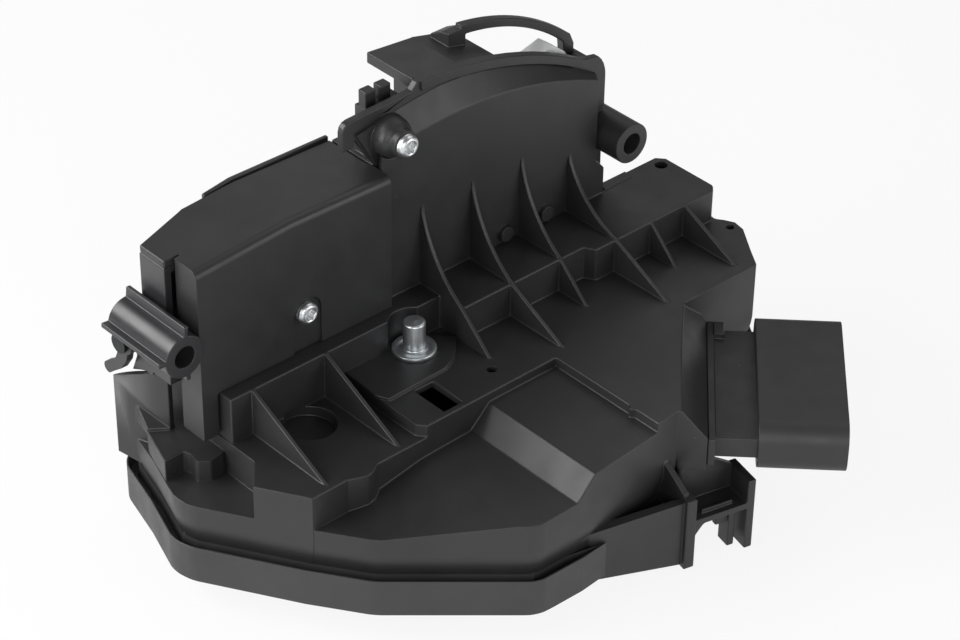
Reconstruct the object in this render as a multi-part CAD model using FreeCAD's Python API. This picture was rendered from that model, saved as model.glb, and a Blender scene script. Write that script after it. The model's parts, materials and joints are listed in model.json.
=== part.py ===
import FreeCAD
import Part
import math
import os

V = FreeCAD.Vector

# Sizes are in millimetres. X runs along the ribbed wall, Y away from the ribbed side and
# Z up off the deck. Heights below are taken from the pad under the stud; every piece is
# then lowered by the collar's height, so the origin is the centre of the collar's top face.

# driving sizes of the whole housing
HOUSING_LENGTH = 191.0
HOUSING_DEPTH = 115.0
HOUSING_HEIGHT = 111.4
RIGHT_X = 113.6
FRONT_Y = -69.0
BASE_Z = -40.0
LEFT_X = RIGHT_X - HOUSING_LENGTH
BULGE_Y = FRONT_Y + HOUSING_DEPTH
FLANGE_TOP_Z = BASE_Z + HOUSING_HEIGHT

# levels
SEAT_Z = 0.0
DECK_Z = -1.0
RAISED_Z = -4.0
BAY_Z = -4.8
LEFT_STEP_Z = -8.8
LOW_RIGHT_Z = -10.4
LOW_LEFT_Z = -15.5
JOINT_Z = -28.5
SHELF_Z = 9.5
BOX_TOP_Z = FLANGE_TOP_Z - 19.4
RIDGE_Z = FLANGE_TOP_Z - 11.6
LEDGE_Z = FLANGE_TOP_Z - 2.2

# walls
SKIN = 2.2
LIP = 1.5
RIB = 1.3
RUN_FIT = 0.08
GAP = 0.5

# front faces of the upright half
SHELF_LEFT_Y = 4.8
SHELF_RIGHT_Y = -4.0
DECK_END_Y = -7.3
BOX_Y = 9.2
WALL_Y = 13.0
FLANGE_Y = 17.0
REAR_Y = 36.0

# upright wall
WALL_X0 = 0.0
WALL_X1 = RIGHT_X - 33.1
RIDGE_X = 27.8
RIDGE_R = 130.0
FLANGE_X0 = -10.2
FLANGE_X1 = RIGHT_X - 26.6
FLANGE_TOP_X = 16.0
FLANGE_R = 122.0
FLANGE_END_R = 9.0
FLANGE_END_Z = FLANGE_TOP_Z - 24.9
FLANGE_T = 2.2
STEP_X = 22.0
ROOF_X1 = 47.0
ROOF_Y1 = 38.0
BOW_Y0 = 28.6
BOW_T = 2.8
RIM_H = 3.0
WALL_STUD_R = 2.4
WALL_RIB_X0 = 14.2
WALL_RIB_PITCH = (WALL_X1 - 25.0) / 3

# box on the left
BOX_X0 = LEFT_X + 11.9
BOX_X1 = 0.0
BOX_SPLIT_Y = 18.5
BOX_REAR_X0 = BOX_X0 - 2.8
BOX_FOOT_X = BOX_X0 + 5.4
BOX_FOOT_Z = -4.0
BOX_LEFT_Z = BOX_TOP_Z - 1.8
LEVER_FOOT_Z = SHELF_Z + 1.1
BOX_EDGE_R = 2.4
CREASE_X = BOX_X0 + 31.5
CREASE_Z = BOX_TOP_Z + 0.6

# locating stud
STUD_R = 3.15
STUD_H = 10.0
STUD_COLLAR_R = 6.25
STUD_COLLAR_H = 1.4
STUD_HOLE_R = 2.6
STUD_ROOM_R = 7.2
ORIGIN_DROP = STUD_COLLAR_H
PAD_Z = -0.05

# guide tubes
TUBE_R = 6.2
BORE_R = 3.2
TUBE_Z = 28.2
LEFT_TUBE_X = BOX_X0 - 6.3
LEFT_TUBE_Y0 = 7.0
LEFT_TUBE_Y1 = 32.0
RIGHT_TUBE_X = FLANGE_X1 + 0.2
RIGHT_TUBE_Y0 = 5.5
RIGHT_TUBE_Y1 = 30.0

# connector, along its own axis at 45 degrees
CONN_X = 54.6
CONN_Y = -48.9
CONN_Z = -14.8
CONN_T = 2.4
SLOPE_LEN = 7.6
SLOPE_DROP = 9.4
PLATE_LEN = 2.0
PLATE_W = 55.5
PLATE_H = 8.8
NECK_LEN = 11.6
NECK_W = 50.4
NECK_H = 6.4
SHROUD_LEN = 24.4
SHROUD_W = 56.4
SHROUD_H = 15.6
SHROUD_R = 6.0
SHROUD_SHIFT = 1.0
SHROUD_T = 2.0
PIN_COLS = 9
PIN_ROWS = 2
PIN_SIDE = 0.8
PIN_PITCH = 4.6

# latch mechanism
CLAW_X = (WALL_X0 + WALL_X1) / 2 + 9.75
CLAW_Z = (FLANGE_TOP_Z + SHELF_Z) / 2 - 5.45
CLAW_Y0 = 21.0
CLAW_T = 6.0
CLAW_R = 32.0
STRIKER_R = 21.0
PIVOT_R = 4.5
PAWL_X = CLAW_X - 30.0
PAWL_Z = CLAW_Z - 8.0
PAWL_Y0 = 21.5
PAWL_T = 5.0
FACE_Y0 = 34.0
FACE_T = 2.5
FACE_HOLE_R = 2.55
FACE_COLLAR_R = 4.6
BOX_LEVER_X = -34.0
BOX_LEVER_Z = (BOX_TOP_Z + SHELF_Z) / 2 - 6.75
LEVER_ARM = BOX_TOP_Z - BOX_LEVER_Z - 8.0
LEVER_PIN_R = 3.0

# hooked lever on the left
ROD_LEVER_X = BOX_REAR_X0 - 1.2
ROD_LEVER_T = 2.2
ROD_PIN_Y = 35.2
ROD_PIN_Z = 17.8
ROD_PIN_R = 2.0

# torsion springs
WIRE_SIDES = 6
WIRE_STEPS = 14
SPRING_SPACE = 0.25

# actuator gear train
MOTOR_X0 = 68.0
MOTOR_Y = -10.0
MOTOR_Z = -19.0
MOTOR_R = 10.0
MOTOR_LEN = 30.0
WORM_X0 = 46.0
WORM_X1 = 63.0
WORM_R = 3.6
WORM_SHAFT_R = 1.2
GEAR_R = 15.0
GEAR_T = 6.0
GEAR_TEETH = 28
GEAR_X = 54.0
GEAR_SHAFT_R = 2.0
LOCK_X = 22.0
LOCK_Y = 12.0

# board that carries the conductors
BOARD_X0 = LEFT_X + 47.4
BOARD_X1 = 20.0
BOARD_Y0 = FRONT_Y + 9.0
BOARD_Y1 = BOARD_Y0 + 26.0
BOARD_Z = -24.0

# screws
SCREW_HEAD_R = 3.4
SCREW_HEAD_H = 2.2
SCREW_SHANK_R = 1.5
SCREW_LEN = 13.0
BOX_SCREW_X = -29.6
BOX_SCREW_Z = 21.3
RELIEF_R = 4.8
RELIEF_DEPTH = 0.9
BOSS_X = 4.6
BOSS_Z = FLANGE_TOP_Z - 11.1
BOSS_R = 5.8
BOSS_Y = 8.6
BOSS_NECK_R = 4.0
BOSS_DOME_Y = 13.6
BOSS_NECK_Y = 10.6

# hole near the right end of the upper deck
END_HOLE_X = RIGHT_X - 6.6
END_HOLE_Y = 12.4
END_HOLE_R = 1.9
END_HOLE_DEPTH = 4.5
END_BOSS_R = 3.5

# the base outline in plan, counter-clockwise from the front left corner
FRONT_RIGHT = [(28.0, -66.8), (36.2, -66.2), (73.0, -31.7), (RIGHT_X - 11.1, -31.7),
               (RIGHT_X - 7.2, -25.7), (RIGHT_X - 0.8, -16.5), (RIGHT_X, -12.5),
               (RIGHT_X - 1.6, -9.3), (RIGHT_X - 3.0, -7.3), (RIGHT_X - 3.0, 14.0)]
BASE_OUTLINE = [
    (LEFT_X + 1.4, 2.0), (LEFT_X + 17.8, -25.0), (LEFT_X + 28.4, -40.5), (-17.0, FRONT_Y + 0.4),
    (-2.0, FRONT_Y)] + FRONT_RIGHT + [
    (RIGHT_X - 5.1, 16.4), (RIGHT_X - 25.6, 16.4), (RIGHT_X - 27.1, REAR_Y), (-12.0, REAR_Y),
    (-24.0, BULGE_Y), (LEFT_X + 15.4, BULGE_Y), (LEFT_X + 9.9, BULGE_Y - 4.5),
    (LEFT_X + 5.4, 24.0), (LEFT_X, 7.6)]
BAY_OUTLINE = [
    (LEFT_X + 10.5, -13.0), (LEFT_X + 17.8, -25.0), (LEFT_X + 18.9, -27.0),
    (LEFT_X + 30.9, -27.0), (LEFT_X + 34.1, -28.4), (LEFT_X + 36.4, -29.2),
    (LEFT_X + 38.6, -28.8), (LEFT_X + 41.4, -27.0), (-15.0, -27.0), (-15.0, 20.0),
    (LEFT_X + 17.4, 20.0), (LEFT_X + 17.4, -4.6)]
LEFT_STEP_OUTLINE = [
    (LEFT_X + 2.6, 14.8), (LEFT_X + 9.1, 15.0), (LEFT_X + 9.8, 12.7), (LEFT_X + 8.9, 9.2),
    (LEFT_X + 12.1, 6.9), (LEFT_X + 16.8, 7.6), (LEFT_X + 19.4, 12.0), (LEFT_X + 19.4, 26.0),
    (LEFT_X + 6.8, 28.0)]
DECK_OUTLINE = [(-18.8, -27.0), (28.0, -27.0)] + FRONT_RIGHT + [(-20.8, 14.0), (-20.8, -24.5)]
SHELF_OUTLINE = [
    (BOX_X0 + 5.9, SHELF_LEFT_Y), (14.2, SHELF_LEFT_Y), (14.2, SHELF_RIGHT_Y), (60.0, SHELF_RIGHT_Y),
    (61.8, DECK_END_Y), (RIGHT_X - 4.8, DECK_END_Y), (RIGHT_X - 3.0, DECK_END_Y + 1.8),
    (RIGHT_X - 3.0, 14.0), (RIGHT_X - 5.1, 16.4), (WALL_X1 + 5.5, 16.4), (WALL_X1 + 4.0, 34.0),
    (BOX_X0 + 5.9, 34.0)]
PAD_OUTLINE = [
    (-20.7, 4.9), (-21.3, -8.5), (-19.5, -12.2), (1.0, -11.7), (5.0, -10.2),
    (9.0, -7.0), (13.5, -2.4), (8.0, 3.5), (4.0, 4.9)]


def box(x0, x1, y0, y1, z0, z1):
    return Part.makeBox(x1 - x0, y1 - y0, z1 - z0, V(x0, y0, z0))


def rod(base, axis, radius, length):
    return Part.makeCylinder(radius, length, V(*base), V(*axis))


def rod_y(x, z, radius, y0, y1):
    return rod((x, y0, z), (0, 1, 0), radius, y1 - y0)


def plan_face(points, z):
    corners = [V(x, y, z) for x, y in points]
    return Part.Face(Part.makePolygon(corners + corners[:1]))


def slab(points, z0, z1):
    return plan_face(points, z0).extrude(V(0, 0, z1 - z0))


def inset_slab(points, inset, z0, z1):
    face = plan_face(points, z0).makeOffset2D(-inset)
    return face.extrude(V(0, 0, z1 - z0))


def side_plate(points, y0, y1):
    """Plate with an outline in X and Z, from y0 to y1."""
    corners = [V(x, y0, z) for x, z in points]
    return Part.Face(Part.makePolygon(corners + corners[:1])).extrude(V(0, y1 - y0, 0))


def cross_plate(points, x0, x1):
    """Plate with an outline in Y and Z, from x0 to x1."""
    corners = [V(x0, y, z) for y, z in points]
    return Part.Face(Part.makePolygon(corners + corners[:1])).extrude(V(x1 - x0, 0, 0))


def arc_points(cx, cz, radius, start, end, count):
    step = (end - start) / (count - 1)
    angles = [math.radians(start + step * i) for i in range(count)]
    return [(cx + radius * math.cos(a), cz + radius * math.sin(a)) for a in angles]


def join(shapes):
    whole = shapes[0].multiFuse(shapes[1:]) if len(shapes) > 1 else shapes[0]
    return whole.removeSplitter()


def ridge_z(x):
    return RIDGE_Z - RIDGE_R + math.sqrt(RIDGE_R ** 2 - (x - RIDGE_X) ** 2)


def flange_z(x):
    return FLANGE_TOP_Z - FLANGE_R + math.sqrt(FLANGE_R ** 2 - (x - FLANGE_TOP_X) ** 2)


def conn_place(shape):
    """Move a shape made along +X at the origin to the connector's own axis."""
    shape.rotate(V(0, 0, 0), V(0, 0, 1), -45)
    shift = CONN_T / math.sqrt(2)
    shape.translate(V(CONN_X + shift, CONN_Y + shift, CONN_Z))
    return shape


def flange_profile():
    """Outline of the arched flange in X and Z; its left end is a rounded ear."""
    ear = arc_points(FLANGE_X0 + 2.8, LEDGE_Z - 3.7, 2.8, 180, 90, 4)
    top = [(WALL_X0, SHELF_Z), (WALL_X0 + 1, BOX_TOP_Z - 1), (FLANGE_X0 + 4.4, LEDGE_Z - 7.0),
           (FLANGE_X0 + 3.6, LEDGE_Z - 9.4), (FLANGE_X0, LEDGE_Z - 9.4)] + ear
    top += [(FLANGE_TOP_X - 2, LEDGE_Z), (FLANGE_TOP_X, FLANGE_TOP_Z)]
    end_x = FLANGE_X1 - FLANGE_END_R
    step = (end_x - FLANGE_TOP_X) / 11
    top += [(FLANGE_TOP_X + step * i, flange_z(FLANGE_TOP_X + step * i)) for i in range(1, 12)]
    end = arc_points(end_x, FLANGE_END_Z, FLANGE_END_R, 48, 0, 5)
    foot = [(FLANGE_X1, TUBE_Z + 8), (WALL_X1, TUBE_Z + 2), (WALL_X1, SHELF_Z)]
    return top + end + foot


def rib_wall(x, top_z, front_y, foot_y):
    """Curved rib from the upright wall to the shelf edge and out to the deck."""
    y0 = WALL_Y + 0.5
    mid_y = (y0 + front_y) / 2 + 2.2
    mid_z = SHELF_Z + (top_z - SHELF_Z) * 0.36
    upper = Part.Arc(V(x, y0, top_z), V(x, mid_y, mid_z), V(x, front_y, SHELF_Z))
    edges = [upper.toShape(),
             Part.makeLine(V(x, front_y, SHELF_Z), V(x, foot_y, DECK_Z)),
             Part.makeLine(V(x, foot_y, DECK_Z), V(x, foot_y, DECK_Z - 0.5)),
             Part.makeLine(V(x, foot_y, DECK_Z - 0.5), V(x, y0, DECK_Z - 0.5)),
             Part.makeLine(V(x, y0, DECK_Z - 0.5), V(x, y0, top_z))]
    face = Part.Face(Part.Wire(edges))
    return face.extrude(V(RIB, 0, 0)).translate(V(-RIB / 2, 0, 0))


def rib_deck(x, front_y, foot_y, top_z, floor_z):
    return cross_plate([(front_y + 1, top_z), (front_y, top_z), (foot_y, floor_z),
                        (foot_y, floor_z - 0.5), (front_y + 1, floor_z - 0.5)],
                       x - RIB / 2, x + RIB / 2)


def housing_ribs():
    tops = (RIDGE_Z - 20.2, RIDGE_Z - 20.2, RIDGE_Z - 20.3, RIDGE_Z - 30.0)
    feet = (-15.6, -25.1, -15.1, -29.1)
    fronts = (SHELF_RIGHT_Y, SHELF_RIGHT_Y, SHELF_RIGHT_Y, DECK_END_Y)
    ribs = [rib_wall(WALL_RIB_X0 + WALL_RIB_PITCH * i, tops[i], fronts[i], feet[i])
            for i in range(4)]
    ribs += [rib_deck(x, DECK_END_Y, y, SHELF_Z, DECK_Z)
             for x, y in ((WALL_X1 + 3.3, -17.8), (WALL_X1 + 16.8, -28.9))]
    ribs += [rib_deck(x, SHELF_LEFT_Y, -25.3, SHELF_Z, BAY_Z) for x in (BOX_X0 + 13.5, -27.1)]
    return ribs


def low_deck():
    """The lower deck rises to the right, with a slanted step up to the raised panel."""
    left = LEFT_X - 2.6
    profile = [(left, LOW_LEFT_Z), (LEFT_X + 30.4, LOW_LEFT_Z), (-21, LOW_RIGHT_Z - 0.6),
               (-3.5, LOW_RIGHT_Z), (3.3, RAISED_Z), (60, RAISED_Z),
               (60, LOW_LEFT_Z - SKIN), (left, LOW_LEFT_Z - SKIN)]
    strip = side_plate(profile, -75, -20)
    return strip.common(slab(BASE_OUTLINE, LOW_LEFT_Z - SKIN, 0))


def connector_slope():
    half = PLATE_W / 2
    corners = [V(-14, -half, DECK_Z - CONN_Z), V(0, -half, DECK_Z - CONN_Z),
               V(SLOPE_LEN, -half, DECK_Z - SLOPE_DROP - CONN_Z), V(SLOPE_LEN, -half, -6),
               V(-14, -half, -6)]
    wedge = Part.Face(Part.makePolygon(corners + corners[:1])).extrude(V(0, PLATE_W, 0))
    return conn_place(wedge)


def arm():
    """Low arm from the base to the clip bracket at the front right."""
    length = 41.5
    profile = [(0, -25.0), (length, -24.2), (length, -46.5), (12, -41.0), (0, -41.0)]
    plate = side_plate(profile, 0, 2.6)
    post = box(length - 3.2, length, -1.6, 4.0, -46.5, -23.2)
    whole = plate.fuse(post)
    whole.rotate(V(0, 0, 0), V(0, 0, 1), -13.7)
    whole.translate(V(-6.5, -66.5, 0))
    return whole


def clip_bracket():
    """Open clip bracket at the end of the arm, with an arched front edge and two prongs."""
    tray = box(0, 19.5, -1.0, 10.0, -33.8, -32.0)
    back = Part.Face(Part.makePolygon([V(0, 8, -33.8), V(0, 8, -20.5), V(11, 8, -20.5),
                                       V(19.5, 8, -26.0), V(19.5, 8, -33.8),
                                       V(0, 8, -33.8)])).extrude(V(0, 2.0, 0))
    column = box(17.0, 19.5, -1.0, 10.0, -48.0, -24.5)
    inner = box(12.6, 14.8, 1.0, 6.0, -47.0, -32.5)
    stub = box(9.0, 12.6, 2.0, 4.0, -39.0, -32.5)
    rail = box(3.5, 13.5, 1.0, 1.9, -32.5, -30.8)
    corner = side_plate([(0, -38.5), (0, -33), (5.5, -33), (3.0, -34.2), (1.4, -36.2)], -1.0, 1.2)
    whole = join([tray, back, column, inner, stub, rail, corner])
    whole.rotate(V(0, 0, 0), V(0, 0, 1), -13.7)
    whole.translate(V(34.4, -75.4, 0))
    return whole


def bracket_root():
    """Sloping rib and floor that tie the clip bracket back to the base corner."""
    rib = Part.Face(Part.makePolygon([V(31.2, -64.0, -14.0), V(31.2, -74.8, -22.6),
                                      V(31.2, -74.8, -34.0), V(31.2, -64.0, -34.0),
                                      V(31.2, -64.0, -14.0)])).extrude(V(2.0, 0, 0))
    foot = slab([(33.0, -68.8), (46.0, -72.0), (47.5, -66.0), (52.0, -50.0),
                 (33.0, -64.0)], -33.8, -32.0)
    return rib.fuse(foot)


def left_steps():
    """Low step, ramp and upright plate between the box and the outer wall on the left."""
    step = slab(LEFT_STEP_OUTLINE, LOW_LEFT_Z - SKIN, LEFT_STEP_Z)
    upright = [e for e in step.Edges if abs(e.tangentAt(e.FirstParameter).z) > 0.9]
    round_at = [e for e in upright if e.CenterOfMass.y < 13 and e.CenterOfMass.x < LEFT_X + 13.4]
    step = step.makeFillet(1.4, round_at)
    foot = LEFT_STEP_Z - 1
    corner_x = LEFT_X + 12.0
    low = [V(corner_x - 5.2, 28, foot), V(corner_x, 24.5, foot), V(corner_x - 3.8, 34.6, foot)]
    high = [V(corner_x - 5.2, 28, -7.7), V(corner_x, 24.5, -8.0), V(corner_x - 3.8, 34.6, -3.4)]
    faces = [Part.Face(Part.makePolygon(row + row[:1])) for row in (low, high)]
    for i in range(3):
        j = (i + 1) % 3
        faces.append(Part.Face(Part.makePolygon([low[i], low[j], high[j], high[i], low[i]])))
    ramp = Part.makeSolid(Part.makeShell(faces))
    outline = [(0, -28.0), (17.4, -22.0), (17.4, 3.8), (0, 10.1)]
    plate = side_plate(outline, -2.2, 0)
    plate.rotate(V(0, 0, 0), V(0, 0, 1), 110.8)
    plate.translate(V(corner_x, 24.5, 0))
    return [step, ramp, plate]


def wall_body():
    """Upright wall whose upper edge leans back to the arched flange."""
    count = 11
    xs = [WALL_X0 + (WALL_X1 - WALL_X0) / count * i for i in range(count + 1)]
    ridge = [(x, ridge_z(x)) for x in xs]
    foot = [(WALL_X1, 22.0), (WALL_X1 + 3.5, 18.0), (WALL_X1 + 3.5, SHELF_Z - 1),
            (WALL_X0, SHELF_Z - 1)]
    lean = FLANGE_Y - WALL_Y
    upper = [(x + lean * 0.6, min(z + 2 * lean, flange_z(x + lean * 0.6) - RIM_H)) for x, z in ridge]
    near = [V(x, WALL_Y, z) for x, z in ridge + foot]
    far = [V(x, FLANGE_Y, z) for x, z in upper + foot]
    wires = [Part.makePolygon(row + row[:1]) for row in (near, far)]
    return Part.makeLoft(wires, True, True)


def wall_studs():
    """Two short round studs at the foot of the upright wall."""
    return [rod_y(x, z, WALL_STUD_R, WALL_Y - 1.6, WALL_Y + 0.5)
            for x, z in ((CLAW_X - 5.0, SHELF_Z + 3.1), (CLAW_X + 10.4, SHELF_Z + 3.3))]


def deck_strip():
    """Raised strip beside the wall on the right deck."""
    return box(WALL_X1 + 4.5, RIGHT_X - 17.6, WALL_Y + 0.5, 16.4, SHELF_Z - 0.5, SHELF_Z + 0.5)


def main_housing():
    """Moulded housing: decks, shelf, upright wall, ribs, arm and bracket root."""
    solids = [slab(BASE_OUTLINE, JOINT_Z, LOW_LEFT_Z), low_deck(),
              slab(BAY_OUTLINE, JOINT_Z, BAY_Z), slab(DECK_OUTLINE, JOINT_Z, DECK_Z),
              slab(SHELF_OUTLINE, JOINT_Z, SHELF_Z), connector_slope()]
    solids += left_steps()
    body = join(solids)
    hollow = [inset_slab(BASE_OUTLINE, SKIN, JOINT_Z - 1, LOW_LEFT_Z - SKIN),
              inset_slab(DECK_OUTLINE, SKIN, JOINT_Z - 1, DECK_Z - SKIN),
              inset_slab(SHELF_OUTLINE, SKIN, JOINT_Z - 1, SHELF_Z - SKIN)]
    body = body.cut(join(hollow))
    backing = rod((0, 0, DECK_Z - SKIN), (0, 0, 1), STUD_ROOM_R + SKIN, SHELF_Z - DECK_Z + SKIN)
    body = body.fuse(backing.common(box(-15, 15, SHELF_LEFT_Y, 20, -10, 20)))
    body = body.cut(rod((0, 0, PAD_Z), (0, 0, 1), STUD_ROOM_R, 20))
    pad = slab(PAD_OUTLINE, DECK_Z - 0.5, PAD_Z)
    wall = wall_body().cut(rod_y(BOSS_X, BOSS_Z, BOSS_R + 0.1, 0, 30))
    wall = max(wall.Solids, key=lambda solid: solid.Volume)
    body = join([body, pad, wall, deck_strip()] + wall_studs() + housing_ribs()
                + [arm(), bracket_root(), clip_bracket()])
    cuts = [box(-11.2, -4.6, -25.0, -13.0, DECK_Z - 4, 1),
            rod((11.1, -19.4, -5), (0, 0, 1), 1.5, 6),
            rod((RIGHT_X - 3.2, -13.4, -5), (0, 0, 1), 1.2, 6),
            rod((END_HOLE_X, END_HOLE_Y, SHELF_Z - END_HOLE_DEPTH), (0, 0, 1), END_HOLE_R, 6),
            rod((BOX_X0 + 27.1, -1.6, BAY_Z - 0.8), (0, 0, 1), 7.4, 2),
            rod((0, 0, DECK_Z - 4), (0, 0, 1), STUD_HOLE_R, 6),
            box(BOX_X0 - 0.1, BOX_FOOT_X + 0.1, BOX_Y - 0.1, BOX_SPLIT_Y + 0.1,
                BOX_FOOT_Z - 0.1, SHELF_Z + 0.5)]
    hole_boss = rod((END_HOLE_X, END_HOLE_Y, SHELF_Z - 6.5), (0, 0, 1), END_BOSS_R, 6)
    body = body.fuse(hole_boss)
    for cut in cuts:
        body = body.cut(cut)
    return body


def base_cover():
    """Tray that closes the housing from below, with a raised lip round its edge."""
    outer = plan_face(BASE_OUTLINE, BASE_Z).makeOffset2D(LIP).extrude(V(0, 0, JOINT_Z - BASE_Z))
    inner = inset_slab(BASE_OUTLINE, SKIN, BASE_Z + SKIN, JOINT_Z + 1)
    cover = outer.cut(inner)
    cover = cover.cut(join([arm(), bracket_root(), clip_bracket()]))
    return join([cover, gear_post(), lock_post()] + board_posts() + motor_cradle())


def locating_stud():
    shaft = rod((0, 0, STUD_COLLAR_H), (0, 0, 1), STUD_R, STUD_H - STUD_COLLAR_H)
    collar = rod((0, 0, SEAT_Z), (0, 0, 1), STUD_COLLAR_R, STUD_COLLAR_H)
    shank = rod((0, 0, DECK_Z - SKIN), (0, 0, 1), STUD_HOLE_R, -(DECK_Z - SKIN))
    return join([collar, shaft, shank])


def roof_plate():
    """Sloping plate behind the left half of the arch, with a thick left lip."""
    top = LEDGE_Z + 2.2
    outline = [(FLANGE_TOP_X, top - 3.4), (FLANGE_TOP_X, top), (32.0, top - 1.4),
               (ROOF_X1, top - 5.0), (ROOF_X1, top - 7.2), (32.0, top - 3.6),
               (FLANGE_TOP_X + 3.6, top - 2.4), (FLANGE_TOP_X + 2.8, top - 3.8)]
    return side_plate(outline, FLANGE_Y, ROOF_Y1)


def screw_boss():
    """Boss under the wall screw: a dome that narrows to a neck just wider than the head."""
    profile = [V(0, BOSS_Y, 0), V(0, BOSS_Y, BOSS_NECK_R), V(0, BOSS_NECK_Y, BOSS_NECK_R),
               V(0, BOSS_NECK_Y + 1.4, BOSS_R - 0.5), V(0, BOSS_DOME_Y, BOSS_R),
               V(0, FLANGE_Y + 0.5, BOSS_R), V(0, FLANGE_Y + 0.5, 0)]
    face = Part.Face(Part.makePolygon(profile + profile[:1]))
    boss = face.revolve(V(0, 0, 0), V(0, 1, 0), 360)
    boss.translate(V(BOSS_X, 0, BOSS_Z))
    return boss


def ear_gusset():
    """Plate between the ear of the flange and the screw boss, just in front of the flange."""
    outline = [(BOSS_X - 10.7, BOSS_Z + 3.6), (BOSS_X - 3.2, BOSS_Z + 4.9), (BOSS_X, BOSS_Z),
               (BOSS_X, BOSS_Z - 6.5), (BOSS_X - 3.7, BOX_TOP_Z - 0.6)]
    return side_plate(outline, FLANGE_Y - 1.0, FLANGE_Y + 0.2)


def latch_housing():
    """Rear moulding round the latch: arched flange, roof plate, guard bow and right tube."""
    front = side_plate(flange_profile(), FLANGE_Y, FLANGE_Y + FLANGE_T)
    rim = side_plate(arch_rim(), FLANGE_Y - 0.8, FLANGE_Y + 0.5)
    front = front.fuse(rim.cut(wall_body()))
    low_roof = box(WALL_X0, STEP_X, FLANGE_Y, FACE_Y0, BOX_TOP_Z - SKIN, BOX_TOP_Z)
    step = box(STEP_X, STEP_X + SKIN, FLANGE_Y + 1, FACE_Y0, BOX_TOP_Z - SKIN, LEDGE_Z + 0.3)
    left = box(WALL_X0, WALL_X0 + SKIN, FLANGE_Y, FACE_Y0, SHELF_Z, BOX_TOP_Z)
    inside_x = FLANGE_X1 - 3.0
    shoulder = FLANGE_END_Z + 3.5
    right = side_plate([(inside_x, SHELF_Z), (FLANGE_X1, SHELF_Z), (FLANGE_X1, shoulder - 2),
                        (FLANGE_X1 - 1.4, shoulder), (inside_x, shoulder)],
                       FLANGE_Y + 0.5, FACE_Y0)
    body = join([front, roof_plate(), low_roof, step, left, right, guard_bow(), guide_block()])
    body = body.fuse(rod_y(RIGHT_TUBE_X, TUBE_Z, TUBE_R, RIGHT_TUBE_Y0, RIGHT_TUBE_Y1))
    body = body.cut(rod_y(RIGHT_TUBE_X, TUBE_Z, BORE_R, 0, REAR_Y + 4))
    body = body.fuse(ear_gusset().cut(wall_body())).fuse(screw_boss())
    body = body.cut(rod_y(BOSS_X, BOSS_Z, SCREW_SHANK_R, BOSS_Y - 3, FLANGE_Y + 8))
    for x, z in ((CLAW_X, CLAW_Z), (PAWL_X, PAWL_Z)):
        body = body.cut(rod_y(x, z, PIVOT_R, FLANGE_Y - 1, FLANGE_Y + 4))
    return body.removeSplitter()


def arch_rim():
    """Thin raised band that follows the arch of the flange."""
    step = (FLANGE_X1 - FLANGE_END_R + 1 - FLANGE_TOP_X) / 10
    xs = [FLANGE_TOP_X + 1 + step * i for i in range(10)]
    outer = [(x, flange_z(x)) for x in xs]
    inner = [(x, flange_z(x) - RIM_H) for x in reversed(xs)]
    return outer + inner


def guard_bow():
    """Slim arched bar behind the striker pocket, rising from a block on the roof plate."""
    def at(x, z):
        return V(x, BOW_Y0, FLANGE_TOP_Z + z)

    span = FLANGE_X1 - ROOF_X1
    x0 = ROOF_X1 - 4.8
    x1 = FLANGE_X1 - 3.1
    outer = Part.Arc(at(x0, 2.3), at(x0 + span * 0.61, -4.7), at(x1, -15.9)).toShape()
    inner = Part.Arc(at(x1 - 2.9, -17.4), at(x0 + span * 0.55, -6.4), at(x0, -0.7)).toShape()
    foot = Part.makePolygon([at(x1, -15.9), at(x1 + 1.5, -19.4), at(x1 + 1.5, -25.4),
                             at(x1 - 1.9, -25.4), at(x1 - 2.9, -17.4)]).Edges
    start = Part.makeLine(at(x0, -0.7), at(x0, 2.3))
    profile = Part.Face(Part.Wire([outer] + foot + [inner, start]))
    bow = profile.extrude(V(0, BOW_T, 0))
    stem_z = LEDGE_Z - 2.7
    stem = cross_plate([(BOW_Y0, stem_z), (BOW_Y0, stem_z + 6.4), (BOW_Y0 + 3.5, stem_z + 5.6),
                        (ROOF_Y1 - 1.5, stem_z + 3.2), (ROOF_Y1 - 1.5, stem_z)],
                       ROOF_X1 - 9.5, x0 + 1.6)
    return bow.fuse(stem)


def guide_block():
    """Block with two posts that guides a cable behind the flange."""
    block = box(1.5, 14.0, FLANGE_Y + FLANGE_T, 26.0, BOX_TOP_Z - 1, LEDGE_Z - 2.8)
    posts = [box(x, x + 3.6, 21.8, 25.0, LEDGE_Z - 3.2, LEDGE_Z + 2.0) for x in (2.0, 7.2)]
    return join([block] + posts)


def cover_top(inset):
    """Top line of the side box from right to left, lowered by inset."""
    return [(CREASE_X, CREASE_Z - inset), (BOX_X0 + inset, BOX_LEFT_Z - inset)]


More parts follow.
